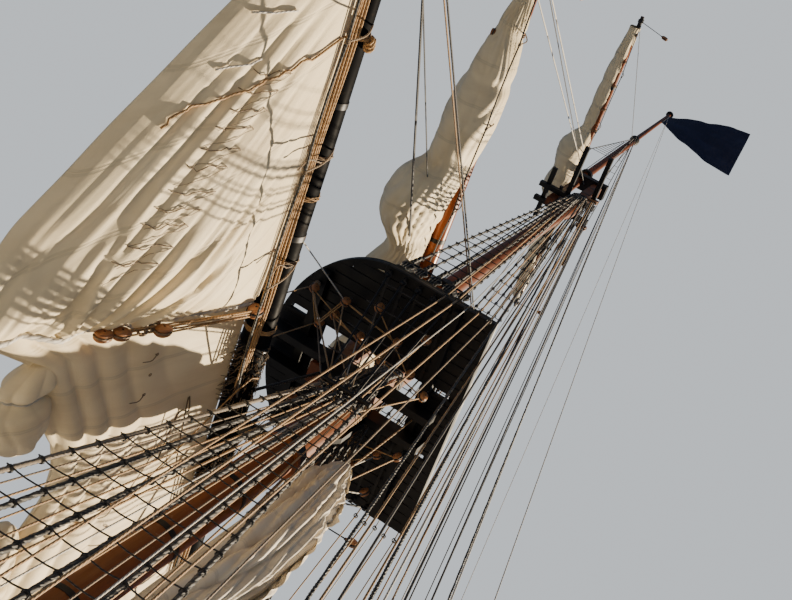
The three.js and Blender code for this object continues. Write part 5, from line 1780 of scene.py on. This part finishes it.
falls = {"underTop": ((0.62, 0.92), (1.12, 0.66), (1.0, -0.2), (0.58, -0.06), (1.06, 1.14),
                      (0.8, 0.3), (0.66, -0.5), (1.3, 0.2), (1.25, -0.55), (0.85, 0.75),
                      (0.5, -0.78)),
         "blockZ": 14.86, "leadX": 0.62, "leadY": 0.04, "leadZ": 13.55, "leadStep": -0.05,
         "radii": (0.009, 0.0105, 0.012), "kinds": (tan, tan, tan, pale, old),
         "aftRail": (3.93, -3.75, -5.1, 1.62), "aftCount": 8, "crosstreeFalls": 5,
         "aftKinds": (tan, tar, tan, pale, tar, tar, pale, pale),
         "aftRadii": (0.011, 0.012, 0.010, 0.009, 0.011, 0.008, 0.007, 0.005),
         "cornerX": 1.82, "cornerY": -0.5, "cornerZ": 15.0, "cornerKinds": (tan, tan, pale, tan, old),
         "cornerRadii": (0.010, 0.012, 0.008, 0.011, 0.009)}


def makeRunning(side):
    # Falls of the gear: from blocks under the top and aloft, down to the pins
    f, sign = falls, sides[side]
    draw = random.Random(90 + sign)
    p = Parts()
    foot = [alongShroud("lower", side, i, pins["z"]) for i in (0, 5)]
    inward = Vector((-sign * pins["inward"], 0, 0))
    rail = makePinRail(p, foot[0] + inward + Vector((0, 0.15, 0)),
                       foot[1] + inward - Vector((0, 0.12, 0)), pins["count"])
    for k, ((x, y), pin) in enumerate(zip(f["underTop"], rail)):
        at = Vector((sign * x, y, f["blockZ"] - 0.03 * (k % 3)))
        addBlock(p, at, (0, 0.05, 1), (pin - at).cross(Vector((0, 0, 1))), 0.16, tar, 0.06)
        radius = draw.choice(f["radii"])
        kind = draw.choice(f["kinds"])
        lead = Vector((sign * (f["leadX"] + 0.03 * (k % 2)), f["leadY"] + f["leadStep"] * k,
                       f["leadZ"]))
        below = lead + (pin - lead) * 0.02
        p.tube([at - Vector((0, 0, 0.05)), lead + (at - lead) * 0.04, lead + (pin - lead) * 0.006,
                below], radius, 5, kind)
        p.tube(sagged(below, pin, draw.uniform(0.0, 0.03), 22), radius, 5, kind)
        p.turnsRound(lead, (0, 0, 1), 0.022, 0.007, 2, tar, 4)
        if k % 3 == 0:  # the other part of the line, over to its neighbour
            x, y = f["underTop"][(k + 1) % len(f["underTop"])]
            thin(p, [at - Vector((0, 0, 0.06)), (sign * x, y, 14.8)], 0.009, tan)
    # falls from the crosstrees and the masthead, beside the backstays
    x, y0, y1, z = f["aftRail"]
    aft = makePinRail(p, (sign * x, y0, z), (sign * x, y1, z), f["aftCount"])
    heads = [inTopmast(sign * 0.3, -0.28 - 0.03 * k, 10.15) for k in range(f["crosstreeFalls"])]
    heads += [inTopgallant(sign * 0.09, -0.05, 6.1), inTopgallant(sign * 0.07, -0.06, 6.3),
              inTopgallant(sign * 0.05, -0.05, 10.0)]
    for head, pin, kind, radius in zip(heads, aft, f["aftKinds"], f["aftRadii"]):
        p.tube(sagged(head, pin, draw.uniform(0.02, 0.2), 26), radius, 5, kind)
    for head in heads[:f["crosstreeFalls"]]:
        addBlock(p, head + Vector((0, 0, 0.05)), (0, 0, 1), (0, 1, 0), 0.15)
    # the batten that holds the leads below the top
    p.tube([(sign * 0.63, 0.12, f["leadZ"]), (sign * 0.63, -0.56, f["leadZ"])], 0.018, 6, tar)
    # falls that come down beside the topmast and past the top's after corner
    for k, (kind, radius) in enumerate(zip(f["cornerKinds"], f["cornerRadii"])):
        head = inTopmast(sign * (0.26 + 0.02 * k), 0.05 - 0.07 * k, 10.0)
        lead = Vector((sign * (f["cornerX"] + 0.03 * (k % 2)), f["cornerY"] - 0.16 * k,
                       f["cornerZ"]))
        pin = rail[6 + k] + Vector((sign * 0.12, 0, 0.05))
        p.tube(sagged(head, lead, 0.05, 16), radius, 5, kind)
        p.tube(sagged(lead, pin, 0.08, 22), radius, 5, kind)
        p.turnsRound(lead, (0, 0, 1), 0.03, 0.007, 2, tar, 4)
    p.make(f"running_rigging_{side}", lineFinish)


topDetail = {"plateX": 1.66, "plateZ": (15.0, 15.108), "crossings": ((0, 1), (1, 2), (3, 2), (4, 0)),
             "lashing": (1.07, 1.17, 14.93), "headLashingZ": 14.3}


def makeTopDetail():
    # Lashings, chain plates and leads on the underside of the top
    t = topDetail
    p = Parts()
    low, high = t["plateZ"]
    for sign in sides.values():
        x = sign * t["plateX"]
        for i in range(futtocks["count"]):
            y = futtocks["firstY"] + futtocks["step"] * i
            p.turnsRound((x, y, 15.07), (0, 0, 1), 0.035, 0.009, 2, tar)
            p.block((x - 0.025, y - 0.03, low), (x + 0.025, y + 0.03, high), slot=metal,
                    bevel=0.008)
        for one, other in t["crossings"]:
            a, b = falls["underTop"][one], falls["underTop"][other]
            for shift in (0, 0.03):
                thin(p, [(sign * a[0], a[1] + shift, 14.83), (sign * b[0], b[1] + shift, 14.8)],
                     0.009, tan)
        for k in range(5):
            p.turnsRound(onSide(sign, t["lashing"]), (math.sin(k), math.cos(2 * k), 0.4), 0.045,
                         0.009, 1.7, old)
    for k in range(6):  # the lashing that holds the brailed sail's head to the mast
        p.turnsRound((0, 0, t["headLashingZ"] + 0.05 * k), (0, 0.05 * (k % 3), 1),
                     lowerRadius(13) + 0.014, 0.014, 1.2, tan)
    p.make("top_lashings", lineFinish)


for side in sides:
    makeRatlines(side)
    makeRunning(side)
makeTopDetail()
makeFootropes("lower", 0.82, 0.34, 0.014, (2.3, 3.7, 5.1, 6.4))
makeFootropes("topsail", 0.7, 0.3, 0.012, (1.6, 3.0, 4.3))
makeFootropes("topgallant", 0.5, 0.2, 0.009, (1.2, 2.4))
makeRobands("lower", 0.24, 0.007, 7.0)
makeRobands("topsail", 0.24, 0.006, 5.0)
makeRobands("topgallant", 0.2, 0.005, 3.3)
makeCourseGear()
makeUpperGear()
makeCrossingLines()
print("lines made", triangles["made"])

# Light, floor and the end

studio = {"sun": (0.46, -0.72, 0.52), "sunPower": 12.0, "sunAngle": 0.8,
          "sunColour": (1.0, 0.84, 0.61), "fill": (0.47, 0.57, 0.76), "fillPower": 0.30,
          "backdrop": (0.66, 0.70, 0.74), "floor": (0.54, 0.53, 0.51), "floorHalf": 10}
key = bpy.data.objects.new("key", bpy.data.lights.new("key", "SUN"))
key.data.energy = studio["sunPower"]
key.data.angle = math.radians(studio["sunAngle"])
key.data.color = studio["sunColour"]
key.rotation_mode = "QUATERNION"
key.rotation_quaternion = Vector(studio["sun"]).to_track_quat("Z", "Y")
bpy.context.scene.collection.objects.link(key)

# the studio's walls look pale, and give less light than they show
world = bpy.data.worlds.new("studio")
world.use_nodes = True
walls = Tree(world.node_tree)
background = world.node_tree.nodes["Background"]
background.inputs[0].default_value = (*studio["fill"], 1)
background.inputs[1].default_value = studio["fillPower"]
shown = walls.node("ShaderNodeBackground", {0: (*studio["backdrop"], 1), 1: 1.0})
seen = walls.node("ShaderNodeLightPath").outputs["Is Camera Ray"]
both = walls.node("ShaderNodeMixShader", {0: seen, 1: background.outputs[0],
                                          2: shown.outputs[0]})
walls.put(world.node_tree.nodes["World Output"].inputs[0], both.outputs[0])
bpy.context.scene.world = world

newMaterial("floorPale", studio["floor"], 0.9)
floor = Parts()
half = studio["floorHalf"]
floor.block((-half, -half, -0.2), (half, half, -0.001))
floor.make("floor", [m["floorPale"]], body=None)

print("triangles added", triangles["made"])
